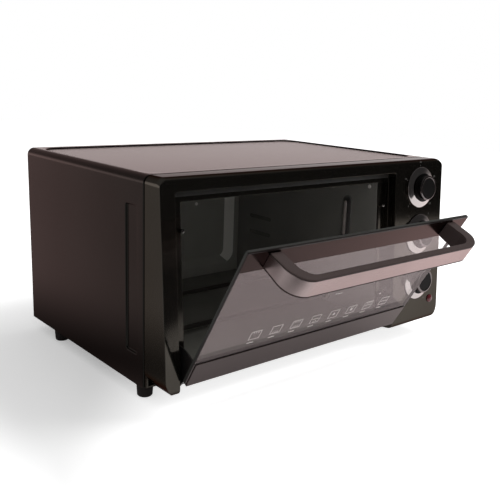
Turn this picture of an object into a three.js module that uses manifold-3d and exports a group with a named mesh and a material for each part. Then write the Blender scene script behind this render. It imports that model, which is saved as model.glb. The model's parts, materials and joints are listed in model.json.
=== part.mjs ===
/**
 * Countertop toaster oven whose bottom-hinged glass door stands ajar.
 *
 * Millimetres, +Z up, the front faces -Y. The oven is laid out with x = 0 at the casing's
 * middle, y = 0 at the top of the front face and z = 0 under the feet, and the whole group
 * is then moved so that its origin is at the bottom centre of its bounding box.
 */
import * as THREE from "three";
import { mergeVertices } from "three/addons/utils/BufferGeometryUtils.js";
import Module from "manifold-3d";

const wasm = await Module();
wasm.setup();

// ---------------------------------------------------------------- driving sizes

const clearance = 0.3; // left between separate pieces
const leastRadius = 0.4; // of a rounded edge on the inside of a thin wall
const seam = 0.01; // kept between two round ends so that they don't meet in a point

// feet
const footHeight = 16.7;
const footTopRadius = 9.6;
const footBottomRadius = 8.6;
const footEdge = 1.2;
const footStemRadius = 3;
const footStemRise = 5;
const footSideInset = 13;
const frontFootSetback = 46;
const footPitch = 204;

// sheet-metal casing
const casingWidth = 460;
const casingHeight = 228;
const casingDepth = 281;
const casingSheet = 1.2;
const casingEdgeRadius = 9;
const casingReturn = 8;
const rearLipWidth = 12;
const topPanelRim = 11;
const topPanelFrontRim = 9;
const topPanelDrop = 2.3;
const topPanelRadius = 25;
const sidePanelSetback = 13.5;
const sidePanelWidth = 21.5;
const sidePanelFoot = 35;
const sidePanelHeight = 160;
const sidePanelDrop = 2;
const sidePanelRadius = 3;
const ventLength = 60;
const ventWidth = 3;
const ventPitch = 9;
const ventInset = 40;
const sideVents = 8;
const sideVentFoot = 110;
const rearVents = 7;
const rearVentFoot = 100;
const panFlange = 14;
const panVents = 5;
const panVentInset = 20;
const panVentPitch = 18;
const rearScrewHeadRadius = 3.6;
const rearScrewCrownRadius = 2.9;
const rearScrewHeadHeight = 2;
const rearScrewRadius = 1.7;
const rearScrewLength = 8;
const rearScrewInset = 14;
const glandFlangeRadius = 11;
const glandFlangeHeight = 3;
const glandFlangeEdge = 1;
const glandNeckRadius = 8;
const glandNeckLength = 10;
const glandBoreRadius = 3.6;
const glandSideInset = 40;
const glandRise = 38;

// front fascia
const fasciaDepth = 26.4;
const fasciaRun = 16; // how far the foot of the raked front stands forward of its top
const fasciaWall = 2.4;
const fasciaNeck = 7.5;
const shadowGap = 1.8;
const fasciaEdgeRadius = 2;
const fasciaCornerRadius = 24;
const chinRise = 5.5;
const chinRadius = 7;
const chinSlope = 1;
const postWidth = 17.7;
const controlWidth = 99.8;
const headWidth = 14.5;
const rebateDepth = 12.5;
const mouthLeftInset = 14.5;
const mouthRightInset = 19.5;
const mouthHeadDrop = 12.5;
const sillHeight = 20.6;
const sillSetback = 9.5;
const rebateCornerRadius = 3;

// cavity
const cavityDepth = 291.5;
const cavitySheet = 1;
const backPanelInset = 17;
const backPanelDrop = 4;
const backPanelSlope = 6;
const backPanelRadius = 18;
const floorFlange = 8;
const louverLength = 50;
const louverWidth = 6;
const louverRear = 28;
const louverFoot = 91;
const louverPitch = 25;
const louverCount = 2;

// heaters
const heaterRadius = 3.2;
const heaterSetback = 90;
const heaterWidth = 115;
const heaterBendRadius = 22;
const heaterEndGap = 21;
const heaterFloorGap = 9.5;
const heaterHeadGap = 10;
const heaterTailLength = 14;
const bushRadius = 5.2;
const bushFlangeRadius = 7.5;
const bushFlange = 2.5;
const bushLength = 9.8;
const clipWidth = 8;
const clipSheet = 1.2;

// thermostat bulb
const bulbRadius = 2.4;
const bulbTipRadius = 1.4;
const bulbLength = 58;
const bulbTopDrop = 31;
const bulbSetback = 61;
const bulbStandOff = 4;
const bulbPlateWidth = 13;
const bulbPlateCorner = 1;
const bulbLugWall = 1.5;
const bulbLugRise = 6;
const bulbLugHeight = 6;

// controls
const knobSideInset = 49;
const knobHead = 36;
const knobPitch = 63;
const skirtRadius = 27;
const skirtRim = 1.6;
const skirtRise = 5.2;
const skirtBevel = 0.8;
const skirtShoulder = 2;
const skirtSeat = 0.5;
const gripRadius = 15.2;
const gripHeight = 14.2;
const gripHubRadius = 6;
const gripBevel = 0.7;
const trimRadius = 16.2;
const trimWidth = 3;
const trimHeight = 2.4;
const trimProud = 0.4;
const trimOuterBevel = 1;
const trimInnerBevel = 0.5;
const shaftRadius = 3;
const shaftGrip = 5;
const shaftSocket = 7;
const controlPlateSetback = 11;
const controlPlateSheet = 1.2;
const controlPlateFoot = 22;
const thermostatRadius = 17;
const thermostatLength = 20;
const switchSize = 36;
const switchLength = 24;
const timerWidth = 44;
const timerHeight = 50;
const timerLength = 28;
const lampSideInset = 18;
const lampDrop = 32;
const lampRadius = 5.6;
const lampRise = 3;
const lampRim = 0.9;
const lampBodyRadius = 4.7;
const lampBodyLength = 24;

// door
const doorSideGap = 1.2;
const doorHeadGap = 3.3;
const doorAjarDegrees = 30.5; // from upright
const hingeHeight = 13.8;
const glassStandOff = 12.6; // from the hinge axis to the glass's outer face, flush with the front when shut
const glassThickness = 4;
const glassFoot = 12.4;
const glassCornerRadius = 2;
const railFoot = 9;
const railHeight = 34;
const railSheet = 1;
const railSideInset = 3;
const hingeArmSheet = 2;
const hingeArmInset = 3.2;
const hingeArmRadius = 41;
const hingeArmWidth = 8;
const hingeArmLug = 5.5;
const hingeArmTailDegrees = 12;
const hingeArmHeelDegrees = 72;
const hingeSlotWidth = 8;
const hingeSlotRelief = 2;
const hingePinRadius = 2.3;
const hingePinLength = 10.6;
const bracketSheet = 1.5;
const bracketLug = 4.2;
const bracketFlange = 12;
const bracketFoot = 4;
const bumperRadius = 2.5;
const bumperCrownRadius = 1.7;
const bumperCrown = 0.5;
const bumperShoulder = 1.5;
const bumperHeight = 173;
const bumperGap = 0.8;

// handle
const handleEndInset = 27.5;
const handleHeight = 23;
const handleTopDrop = 0.2;
const handleStandOff = 44.5;
const handleBar = 7;
const handleLeg = 14;
const handleOuterRadius = 23;
const handleInnerRadius = 15;
const handleRootDrop = 3.8;
const handleRootLength = 32;
const faceEdge = 1.8;
const faceThickness = 0.8;
const handleScrewRadius = 2;
const handleScrewHeadRadius = 4.5;
const handleScrewCrownRadius = 3.6;
const handleScrewHead = 2;
const handleScrewDepth = 12;

// ---------------------------------------------------------------- derived places

const half = casingWidth / 2;
const bottom = footHeight + clearance;
const top = bottom + casingHeight;
const wrapperFront = fasciaDepth + shadowGap;
const wrapperBack = wrapperFront + casingDepth;
const innerHalf = half - casingSheet;
const rake = Math.atan(fasciaRun / casingHeight);
const openingLeft = -half + postWidth;
const openingRight = half - controlWidth;
const openingTop = top - headWidth;
const sill = bottom + sillHeight;
const mouthLeft = openingLeft + mouthLeftInset;
const mouthRight = openingRight - mouthRightInset;
const mouthTop = openingTop - mouthHeadDrop;
const panTop = bottom + 2 * casingSheet + clearance;
const linerFoot = panTop + clearance;
const linerSetback = rebateDepth + fasciaWall + clearance;
const doorAjar = THREE.MathUtils.degToRad(doorAjarDegrees);
const doorLeft = openingLeft + doorSideGap;
const doorRight = openingRight - doorSideGap;
const doorMiddle = (doorLeft + doorRight) / 2;
const handleHalfWidth = (doorRight - doorLeft) / 2 - handleEndInset;
const glassFace = -glassStandOff;
const glassBack = glassFace + glassThickness;
const railBack = glassBack + clearance + railSheet;
const controlX = half - knobSideInset;
const skirtTop = skirtRise + skirtSeat;
const timerPlace = top - knobHead - 2 * knobPitch;
const lampPlace = { x: half - lampSideInset, z: timerPlace - lampDrop };
const heaterHeights = { lower: sill + heaterFloorGap, upper: mouthTop - heaterHeadGap };
const slack = 20; // how far cutting tools overshoot

/** Y of the raked front face at height z. */
function frontY(z) {
  return (-fasciaRun * (top - z)) / casingHeight;
}

const hingeAxisHeight = bottom + hingeHeight;
const hingeAxis = { y: frontY(hingeAxisHeight) + glassStandOff / Math.cos(rake), z: hingeAxisHeight };
const doorTop = (openingTop - doorHeadGap - hingeAxis.z) / Math.cos(rake)
  - glassStandOff * Math.tan(rake);

// ---------------------------------------------------------------- shape helpers

function box(x0, x1, y0, y1, z0, z1) {
  const geometry = new THREE.BoxGeometry(x1 - x0, y1 - y0, z1 - z0);
  return geometry.translate((x0 + x1) / 2, (y0 + y1) / 2, (z0 + z1) / 2);
}

const prismBases = {
  x: [new THREE.Vector3(0, 1, 0), new THREE.Vector3(0, 0, 1), new THREE.Vector3(1, 0, 0)],
  y: [new THREE.Vector3(1, 0, 0), new THREE.Vector3(0, 0, 1), new THREE.Vector3(0, -1, 0)],
  z: [new THREE.Vector3(1, 0, 0), new THREE.Vector3(0, 1, 0), new THREE.Vector3(0, 0, 1)],
};

/** Extrudes an outline along an axis; outlines are (y, z), (x, z) and (x, y) for x, y and z. */
function prism(axis, shape, from, to, curveSegments = 6) {
  const geometry = new THREE.ExtrudeGeometry(shape, {
    depth: to - from,
    bevelEnabled: false,
    curveSegments,
  });
  geometry.applyMatrix4(new THREE.Matrix4().makeBasis(...prismBases[axis]));
  const start = axis === "y" ? to : from;
  return geometry.translate(axis === "x" ? start : 0, axis === "y" ? start : 0, axis === "z" ? start : 0);
}

/** A rectangle with its own radius at each corner: lower left, lower right, upper right, upper left. */
function roundedRect(x0, x1, y0, y1, [ll, lr, ur, ul]) {
  const shape = new THREE.Shape();
  shape.moveTo(x0 + ll, y0);
  shape.lineTo(x1 - lr, y0);
  if (lr > 0) shape.absarc(x1 - lr, y0 + lr, lr, -Math.PI / 2, 0);
  shape.lineTo(x1, y1 - ur);
  if (ur > 0) shape.absarc(x1 - ur, y1 - ur, ur, 0, Math.PI / 2);
  shape.lineTo(x0 + ul, y1);
  if (ul > 0) shape.absarc(x0 + ul, y1 - ul, ul, Math.PI / 2, Math.PI);
  shape.lineTo(x0, y0 + ll);
  if (ll > 0) shape.absarc(x0 + ll, y0 + ll, ll, Math.PI, 1.5 * Math.PI);
  return shape;
}

function evenRect(x0, x1, y0, y1, radius) {
  return roundedRect(x0, x1, y0, y1, [radius, radius, radius, radius]);
}

function polygon(points) {
  return new THREE.Shape(points.map(([x, y]) => new THREE.Vector2(x, y)));
}

/** A turned piece about the Y axis, from (radius, height) points. */
function turned(points, segments = 40) {
  return new THREE.LatheGeometry(points.map(([r, h]) => new THREE.Vector2(r, h)), segments);
}

function rod(radius, from, to, segments = 16) {
  return new THREE.CylinderGeometry(radius, radius, to - from, segments).translate(0, (from + to) / 2, 0);
}

/** Turns a piece made about +Y to point along +X. */
function alongX(geometry) {
  return geometry.rotateZ(-Math.PI / 2);
}

/** Turns a piece made about +Y to stand on +Z. */
function alongZ(geometry) {
  return geometry.rotateX(Math.PI / 2);
}

/** Turns a piece made about +Y to point forward, along -Y. */
function forward(geometry) {
  return geometry.rotateX(Math.PI);
}

/** Places a piece modelled about the origin, pointing along -Y, square on the raked front. */
function onFront(geometry, x, z) {
  return geometry.rotateX(-rake).translate(x, frontY(z), z);
}

function toSolid(geometry) {
  const bare = geometry.clone();
  bare.deleteAttribute("normal");
  bare.deleteAttribute("uv");
  const merged = mergeVertices(bare, 1e-4);
  const mesh = new wasm.Mesh({
    numProp: 3,
    vertProperties: Float32Array.from(merged.attributes.position.array),
    triVerts: Uint32Array.from(merged.index.array),
  });
  return new wasm.Manifold(mesh);
}

function toGeometry(solid) {
  const mesh = solid.getMesh();
  const geometry = new THREE.BufferGeometry();
  geometry.setAttribute("position", new THREE.BufferAttribute(mesh.vertProperties, 3));
  geometry.setIndex(new THREE.BufferAttribute(mesh.triVerts, 1));
  geometry.computeVertexNormals();
  return geometry;
}

function join(...geometries) {
  return toGeometry(geometries.map(toSolid).reduce((sum, next) => sum.add(next)));
}

function cut(geometry, ...tools) {
  return toGeometry(tools.map(toSolid).reduce((rest, tool) => rest.subtract(tool), toSolid(geometry)));
}

function overlapOf(a, b) {
  return toGeometry(toSolid(a).intersect(toSolid(b)));
}

// ---------------------------------------------------------------- finishes and assembly

const finishes = {
  casingPaint: { color: 0x2e2927, roughness: 0.5, metalness: 0.1 },
  glossBlack: { color: 0x0c0b0b, roughness: 0.15, metalness: 0 },
  bareSteel: { color: 0x8b8c8c, roughness: 0.4, metalness: 0.9 },
  cavityEnamel: { color: 0x3a3b39, roughness: 0.25, metalness: 0.6 },
  chrome: { color: 0xc9c4c2, roughness: 0.08, metalness: 1 },
  blackPlastic: { color: 0x0e0e0d, roughness: 0.35, metalness: 0 },
  whitePlastic: { color: 0xd8d6d0, roughness: 0.5, metalness: 0 },
  ceramic: { color: 0xd9d4c8, roughness: 0.6, metalness: 0 },
  heaterSheath: { color: 0x6d665c, roughness: 0.4, metalness: 0.8 },
  copper: { color: 0xb9a89b, roughness: 0.3, metalness: 0.9 },
  glass: { color: 0x5a5052, roughness: 0.03, metalness: 0, transparent: true, opacity: 0.45 },
  railPaint: { color: 0x4b4242, roughness: 0.3, metalness: 0.5 },
  handleBase: { color: 0x2a2423, roughness: 0.35, metalness: 0.2 },
  handleBrushed: { color: 0xa89a9a, roughness: 0.3, metalness: 0.9 },
  lampRed: { color: 0x7a2430, roughness: 0.15, metalness: 0 },
  rubber: { color: 0x0b0b0b, roughness: 0.8, metalness: 0 },
};

function addPiece(parent, name, geometry, finish) {
  const mesh = new THREE.Mesh(geometry, new THREE.MeshStandardMaterial(finishes[finish]));
  mesh.name = name;
  parent.add(mesh);
  return mesh;
}

const oven = new THREE.Group();

// ---------------------------------------------------------------- casing

/** The casing's cross-section, inset by a margin: rounded at the top, square at the foot. */
function casingSection(margin, foot = margin) {
  const radius = Math.max(casingEdgeRadius - margin, leastRadius);
  const side = half - margin;
  return roundedRect(-side, side, bottom + foot, top - margin, [0, 0, radius, radius]);
}

/** Rows of vent slots cut through a wall, as boxes given by a function of the row's height. */
function ventRows(count, foot, makeSlot) {
  return Array.from({ length: count }, (_, row) => makeSlot(bottom + foot + row * ventPitch));
}

function makeWrapper() {
  const sheet = casingSheet;
  const lipBack = wrapperBack - sheet - clearance;
  const lipFront = lipBack - sheet;
  const hollow = prism("y", casingSection(sheet), wrapperFront - slack, wrapperBack + slack);
  const foot = box(-half + casingReturn, half - casingReturn, wrapperFront - slack, wrapperBack + slack,
    bottom - slack, bottom + 2 * sheet);
  const shell = cut(prism("y", casingSection(0), wrapperFront, wrapperBack), hollow, foot);
  const lip = cut(
    prism("y", casingSection(sheet / 2), lipFront, lipBack),
    prism("y", casingSection(sheet + rearLipWidth), lipFront - slack, lipBack + slack),
  );

  const panel = (grow, low, high) => prism("z", evenRect(
    -half + topPanelRim - grow, half - topPanelRim + grow,
    wrapperFront + topPanelFrontRim - grow, wrapperBack - topPanelRim + grow,
    topPanelRadius + grow,
  ), low, high, 8);
  const floor = top - topPanelDrop;
  const bulge = panel(sheet, floor - sheet, top - sheet / 2);
  const pocket = panel(0, floor, top + slack);

  const sidePanel = (grow, from, to) => prism("x", evenRect(
    wrapperFront + sidePanelSetback - grow, wrapperFront + sidePanelSetback + sidePanelWidth + grow,
    bottom + sidePanelFoot - grow, bottom + sidePanelFoot + sidePanelHeight + grow,
    sidePanelRadius + grow,
  ), from, to, 3);
  const sideFloor = half - sidePanelDrop;
  const bulges = [
    sidePanel(sheet, -half + sheet / 2, -sideFloor + sheet),
    sidePanel(sheet, sideFloor - sheet, half - sheet / 2),
  ];
  const pockets = [
    sidePanel(0, -half - slack, -sideFloor),
    sidePanel(0, sideFloor, half + slack),
  ];
  const vents = ventRows(sideVents, sideVentFoot, (z) => box(half - slack, half + slack,
    wrapperBack - ventInset - ventLength, wrapperBack - ventInset, z, z + ventWidth));
  return cut(join(shell, lip, bulge, ...bulges), pocket, ...pockets, ...vents, ...rearScrewHoles());
}

/** Places of the four screws that hold the rear panel to the casing's lip. */
function rearScrewPlaces() {
  const reach = casingSheet + rearLipWidth / 2;
  return [-1, 1].flatMap((side) => [
    { x: side * (half - reach), z: panTop + panFlange + rearScrewInset },
    { x: side * (half - reach), z: top - casingEdgeRadius - rearScrewInset },
  ]);
}

function rearScrewHoles() {
  return rearScrewPlaces().map(({ x, z }) => rod(rearScrewRadius + clearance,
    wrapperBack - slack, wrapperBack + slack, 12).translate(x, 0, z));
}

function makeRearPanel() {
  const margin = casingSheet + clearance;
  const plate = prism("y", casingSection(margin), wrapperBack - casingSheet, wrapperBack);
  const vents = [-1, 1].flatMap((side) => ventRows(rearVents, rearVentFoot, (z) => box(
    Math.min(side * ventInset, side * (ventInset + ventLength)),
    Math.max(side * ventInset, side * (ventInset + ventLength)),
    wrapperBack - slack, wrapperBack + slack, z, z + ventWidth)));
  const gland = rod(glandNeckRadius + clearance, wrapperBack - slack, wrapperBack + slack, 24)
    .translate(half - glandSideInset, 0, bottom + glandRise);
  return cut(plate, ...vents, gland, ...rearScrewHoles());
}

function makeBasePan() {
  const side = innerHalf - clearance;
  const floor = bottom + casingSheet + clearance;
  const front = fasciaDepth + fasciaNeck + clearance;
  const back = wrapperBack - 2 * casingSheet - 2 * clearance;
  const sheet = casingSheet;
  const tray = cut(
    box(-side, side, front, back, floor, floor + panFlange),
    box(-side + sheet, side - sheet, front - slack, back - sheet, floor + sheet, floor + panFlange + slack),
  );
  const ventLeft = mouthRight + panVentInset;
  const vents = Array.from({ length: panVents }, (_, row) => {
    const ventFront = heaterSetback + row * panVentPitch;
    const ventBack = ventFront + ventWidth;
    return box(ventLeft, ventLeft + ventLength, ventFront, ventBack, bottom - slack, floor + slack);
  });
  const stems = footPlaces().map(({ x, y }) => alongZ(rod(footStemRadius + clearance, -slack, slack))
    .translate(x, y, floor));
  return cut(tray, ...vents, ...stems);
}

function footPlaces() {
  return [-1, 1].flatMap((side) => [0, footPitch].map((run) => ({
    name: `foot_${run ? "rear" : "front"}_${side < 0 ? "left" : "right"}`,
    x: side * (half - footSideInset),
    y: frontFootSetback + run,
  })));
}

function makeFoot() {
  return alongZ(turned([
    [0, 0],
    [footBottomRadius - footEdge, 0],
    [footBottomRadius, footEdge],
    [footTopRadius, footHeight],
    [footStemRadius, footHeight],
    [footStemRadius, footHeight + footStemRise],
    [0, footHeight + footStemRise],
  ], 18));
}

function makeRearScrew() {
  const head = wrapperBack + clearance;
  return turned([
    [0, head - rearScrewLength],
    [rearScrewRadius, head - rearScrewLength],
    [rearScrewRadius, head],
    [rearScrewHeadRadius, head],
    [rearScrewCrownRadius, head + rearScrewHeadHeight],
    [0, head + rearScrewHeadHeight],
  ], 12);
}

function makeCordGland() {
  const flange = wrapperBack + clearance;
  const inner = wrapperBack - glandNeckLength;
  return turned([
    [glandBoreRadius, inner],
    [glandNeckRadius, inner],
    [glandNeckRadius, flange],
    [glandFlangeRadius, flange],
    [glandFlangeRadius, flange + glandFlangeHeight - glandFlangeEdge],
    [glandFlangeRadius - glandFlangeEdge, flange + glandFlangeHeight],
    [glandBoreRadius, flange + glandFlangeHeight],
    [glandBoreRadius, inner],
  ], 18).translate(half - glandSideInset, 0, bottom + glandRise);
}

addPiece(oven, "casing_wrapper", makeWrapper(), "casingPaint");
addPiece(oven, "rear_panel", makeRearPanel(), "casingPaint");
addPiece(oven, "base_pan", makeBasePan(), "bareSteel");
addPiece(oven, "cord_gland", makeCordGland(), "blackPlastic");
for (const { name, x, y } of footPlaces()) {
  addPiece(oven, name, makeFoot(), "rubber").position.set(x, y, 0);
}
rearScrewPlaces().forEach(({ x, z }, index) => {
  addPiece(oven, `rear_screw_${index + 1}`, makeRearScrew(), "bareSteel").position.set(x, 0, z);
});

// ---------------------------------------------------------------- fascia

/** The fascia seen from the side, inset by a margin, with its flat back at the given y. */
function fasciaProfile(margin, back) {
  const radius = Math.max(fasciaEdgeRadius - margin, leastRadius);
  const front = (z) => frontY(z) + margin;
  const head = top - margin;
  const chin = bottom + chinRise + margin;
  const shape = new THREE.Shape();
  shape.moveTo(back, bottom + margin);
  shape.lineTo(back, head);
  shape.lineTo(front(head) + radius, head);
  shape.quadraticCurveTo(front(head), head, front(head - radius), head - radius);
  shape.lineTo(front(chin + chinRadius), chin + chinRadius);
  shape.quadraticCurveTo(front(chin), chin, front(chin) + chinRadius, chin - chinSlope);
  shape.lineTo(back, bottom + margin);
  return shape;
}

function fasciaBlock(margin, back) {
  const side = half - margin;
  const topRadius = casingEdgeRadius - margin;
  const lowRadius = fasciaCornerRadius - margin;
  const face = roundedRect(-side, side, bottom + margin, top - margin,
    [lowRadius, lowRadius, topRadius, topRadius]);
  return overlapOf(
    prism("y", face, -2 * fasciaRun, back, 8),
    prism("x", fasciaProfile(margin, back), -half - slack, half + slack),
  );
}

/** The recess that the door closes into, grown by a wall on every side but the front and foot. */
function rebateTool(wall) {
  const depth = rebateDepth + wall;
  const ledge = sill - fasciaWall + wall;
  const crown = openingTop + wall;
  const profile = polygon([
    [-2 * slack, bottom - slack],
    [sillSetback + wall, bottom - slack],
    [sillSetback + wall, ledge],
    [frontY(ledge) + depth, ledge],
    [frontY(crown) + depth, crown],
    [-2 * slack, crown],
  ]);
  const left = openingLeft - wall;
  const right = openingRight + wall;
  const radius = rebateCornerRadius + wall;
  const face = roundedRect(left, right, bottom - 2 * slack, crown, [0, 0, radius, radius]);
  return overlapOf(
    prism("x", profile, left - slack, right + slack),
    prism("y", face, -2 * slack, sillSetback + slack, 3),
  );
}

function makeFascia() {
  const shell = cut(fasciaBlock(0, fasciaDepth), fasciaBlock(fasciaWall, fasciaDepth + slack));
  const neckMargin = casingSheet + clearance;
  const neck = cut(
    prism("y", casingSection(neckMargin), fasciaDepth - fasciaWall, fasciaDepth + fasciaNeck),
    prism("y", casingSection(neckMargin + fasciaWall), 0, fasciaDepth + fasciaNeck + slack),
  );
  const surround = overlapOf(rebateTool(fasciaWall), fasciaBlock(0, fasciaDepth));
  const mouth = box(mouthLeft, mouthRight, -slack, fasciaDepth + slack, sill, mouthTop);
  const slotFoot = bottom + bracketFoot;
  const slotTop = hingeAxis.z + hingeArmRadius + hingeSlotRelief;
  const slots = [
    box(openingLeft, openingLeft + hingeSlotWidth, -slack, fasciaDepth - fasciaWall, slotFoot, slotTop),
    box(openingRight - hingeSlotWidth, openingRight, -slack, fasciaDepth - fasciaWall, slotFoot, slotTop),
  ];
  const shaftHoles = controls().map(({ z }) => onFront(
    rod(gripHubRadius + clearance, -slack, slack, 16), controlX, z));
  const lampHole = onFront(rod(lampBodyRadius + clearance, -slack, slack), lampPlace.x, lampPlace.z);
  return cut(join(shell, neck, surround), rebateTool(0), mouth, ...slots, ...shaftHoles, lampHole);
}

function makeBumper() {
  const foot = rebateDepth - clearance;
  const tip = glassThickness + bumperGap;
  return forward(turned([
    [0, -foot],
    [bumperRadius, -foot],
    [bumperRadius, -tip - bumperShoulder],
    [bumperCrownRadius, -tip - bumperCrown],
    [0, -tip],
  ], 16));
}

addPiece(oven, "front_fascia", makeFascia(), "glossBlack");
for (const [side, x] of [["left", mouthLeft - bumperRadius], ["right", mouthRight + bumperRadius]]) {
  const bumper = onFront(makeBumper(), x, bottom + bumperHeight);
  addPiece(oven, `door_bumper_${side}`, bumper, "chrome");
}

// ---------------------------------------------------------------- cavity

/** Liner walls seen from the side: raked at the front to follow the fascia's surround. */
function linerProfile(head) {
  const ledge = sill + clearance;
  const lowFront = sillSetback + fasciaWall + clearance;
  const neckBack = fasciaDepth + fasciaNeck + clearance;
  const frontFoot = bottom + chinRise + fasciaWall + clearance;
  return polygon([
    [neckBack, linerFoot],
    [neckBack, frontFoot],
    [lowFront, frontFoot],
    [lowFront, ledge],
    [frontY(ledge) + linerSetback, ledge],
    [frontY(head) + linerSetback, head],
    [cavityDepth, head],
    [cavityDepth, linerFoot],
  ]);
}

function louverPlaces() {
  return Array.from({ length: louverCount }, (_, row) => bottom + louverFoot + row * louverPitch);
}

function bushPlaces() {
  return Object.entries(heaterHeights).flatMap(([level, z]) => [
    { name: `${level}_heater_bush_front`, y: heaterSetback, z },
    { name: `${level}_heater_bush_rear`, y: heaterSetback + heaterWidth, z },
  ]);
}

function makeLiner() {
  const head = mouthTop + cavitySheet;
  const outer = prism("x", linerProfile(head), mouthLeft - cavitySheet, mouthRight + cavitySheet);
  const hollow = box(mouthLeft, mouthRight, -2 * slack, cavityDepth + slack, bottom - slack, mouthTop);
  const louverBack = cavityDepth - louverRear;
  const louverEnd = louverWidth / 2;
  const louvers = louverPlaces().map((z) => prism("x", evenRect(
    louverBack - louverLength, louverBack, z - louverEnd, z + louverEnd, louverEnd - seam,
  ), mouthRight - slack, mouthRight + slack, 4));
  const bushHoles = bushPlaces().map(({ y, z }) => alongX(rod(bushRadius + clearance, -slack, slack, 20))
    .translate(mouthRight, y, z));
  return cut(outer, hollow, ...louvers, ...bushHoles);
}

function makeCavityFloor() {
  const left = mouthLeft + clearance;
  const right = mouthRight - clearance;
  const front = sillSetback + fasciaWall + clearance;
  const sheet = cavitySheet;
  const foot = sill - floorFlange;
  return cut(
    box(left, right, front, cavityDepth, foot, sill),
    box(left + sheet, right - sheet, front - slack, cavityDepth + slack, foot - slack, sill - sheet),
  );
}

/** A pressed dish on the back wall: sloping sides down to a flat floor, opening towards -Y. */
function dishTool(grow, floorY) {
  const inset = backPanelInset + backPanelSlope - grow;
  const outline = evenRect(mouthLeft + inset, mouthRight - inset, sill + inset, mouthTop - inset,
    backPanelRadius - backPanelSlope + grow);
  const geometry = new THREE.ExtrudeGeometry(outline, {
    depth: cavitySheet,
    bevelThickness: backPanelDrop,
    bevelSize: backPanelSlope,
    bevelSegments: 1,
    curveSegments: 6,
  });
  geometry.applyMatrix4(new THREE.Matrix4().makeBasis(...prismBases.y));
  return geometry.translate(0, floorY - backPanelDrop, 0);
}

function makeCavityBack() {
  const face = cavityDepth + clearance;
  const sheet = cavitySheet;
  const plate = box(mouthLeft - sheet, mouthRight + sheet, face, face + sheet, linerFoot, mouthTop + sheet);
  const behind = box(-half, half, face + sheet / 2, face + 2 * slack, bottom, top);
  const bulge = overlapOf(dishTool(sheet, face + backPanelDrop + sheet), behind);
  return cut(join(plate, bulge), dishTool(0, face + backPanelDrop));
}

addPiece(oven, "cavity_liner", makeLiner(), "cavityEnamel");
addPiece(oven, "cavity_back", makeCavityBack(), "cavityEnamel");
addPiece(oven, "cavity_floor", makeCavityFloor(), "cavityEnamel");

// ---------------------------------------------------------------- heaters and thermostat bulb

/** The centre line of a U-shaped element: two long legs along X joined by a leg along Y. */
class HeaterPath extends THREE.Curve {
  constructor() {
    super();
    const tail = mouthRight + heaterTailLength;
    const end = mouthLeft + heaterEndGap;
    const radius = heaterBendRadius;
    const turn = end + radius;
    const bend = (y, from) => Array.from({ length: HeaterPath.bendSteps + 1 }, (_, step) => {
      const angle = from + (step / HeaterPath.bendSteps) * (Math.PI / 2);
      return new THREE.Vector3(turn + radius * Math.cos(angle), y + radius * Math.sin(angle), 0);
    });
    this.stations = [
      new THREE.Vector3(tail, heaterWidth, 0),
      ...bend(heaterWidth - heaterBendRadius, Math.PI / 2),
      ...bend(heaterBendRadius, Math.PI),
      new THREE.Vector3(tail, 0, 0),
    ];
  }

  get steps() {
    return this.stations.length - 1;
  }

  getPoint(t) {
    const place = Math.min(Math.max(t, 0), 1) * this.steps;
    const index = Math.min(Math.floor(place), this.steps - 1);
    return this.stations[index].clone().lerp(this.stations[index + 1], place - index);
  }

  getPointAt(u) {
    return this.getPoint(u);
  }

  getTangentAt(u) {
    const place = Math.round(u * this.steps);
    const before = this.stations[Math.max(place - 1, 0)];
    const after = this.stations[Math.min(place + 1, this.steps)];
    return after.clone().sub(before).normalize();
  }
}
HeaterPath.bendSteps = 5;

function circle(radius, segments) {
  const points = Array.from({ length: segments }, (_, index) => {
    const angle = (index / segments) * 2 * Math.PI;
    return [radius * Math.cos(angle), radius * Math.sin(angle)];
  });
  return polygon(points);
}

function makeHeater() {
  const path = new HeaterPath();
  return new THREE.ExtrudeGeometry(circle(heaterRadius, 12), { steps: path.steps, extrudePath: path });
}

function makeBush() {
  const inner = mouthRight - clearance;
  const bore = heaterRadius + clearance;
  return alongX(turned([
    [bore, inner - bushFlange],
    [bushFlangeRadius, inner - bushFlange],
    [bushFlangeRadius, inner],
    [bushRadius, inner],
    [bushRadius, inner + bushLength],
    [bore, inner + bushLength],
    [bore, inner - bushFlange],
  ], 20));
}

/** A strap standing off the left wall with an eye that the element's cross leg lies in. */
function makeHeaterClip() {
  const reach = heaterEndGap + heaterRadius + clearance + clipSheet;
  const eye = heaterRadius + clearance;
  const strap = box(clearance, reach, -clipWidth / 2, clipWidth / 2, -eye - clipSheet, eye + clipSheet);
  const channel = box(heaterEndGap - eye, heaterEndGap + eye, -slack, slack, -eye, eye);
  const relief = box(clearance + clipSheet, reach + slack, -slack, slack, eye, eye + slack);
  return cut(strap, channel, relief);
}

for (const [level, z] of Object.entries(heaterHeights)) {
  addPiece(oven, `${level}_heater`, makeHeater(), "heaterSheath").position.set(0, heaterSetback, z);
  addPiece(oven, `${level}_heater_clip`, makeHeaterClip(), "bareSteel")
    .position.set(mouthLeft, heaterSetback + heaterWidth / 2, z);
}
for (const { name, y, z } of bushPlaces()) {
  addPiece(oven, name, makeBush(), "ceramic").position.set(0, y, z);
}

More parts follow.
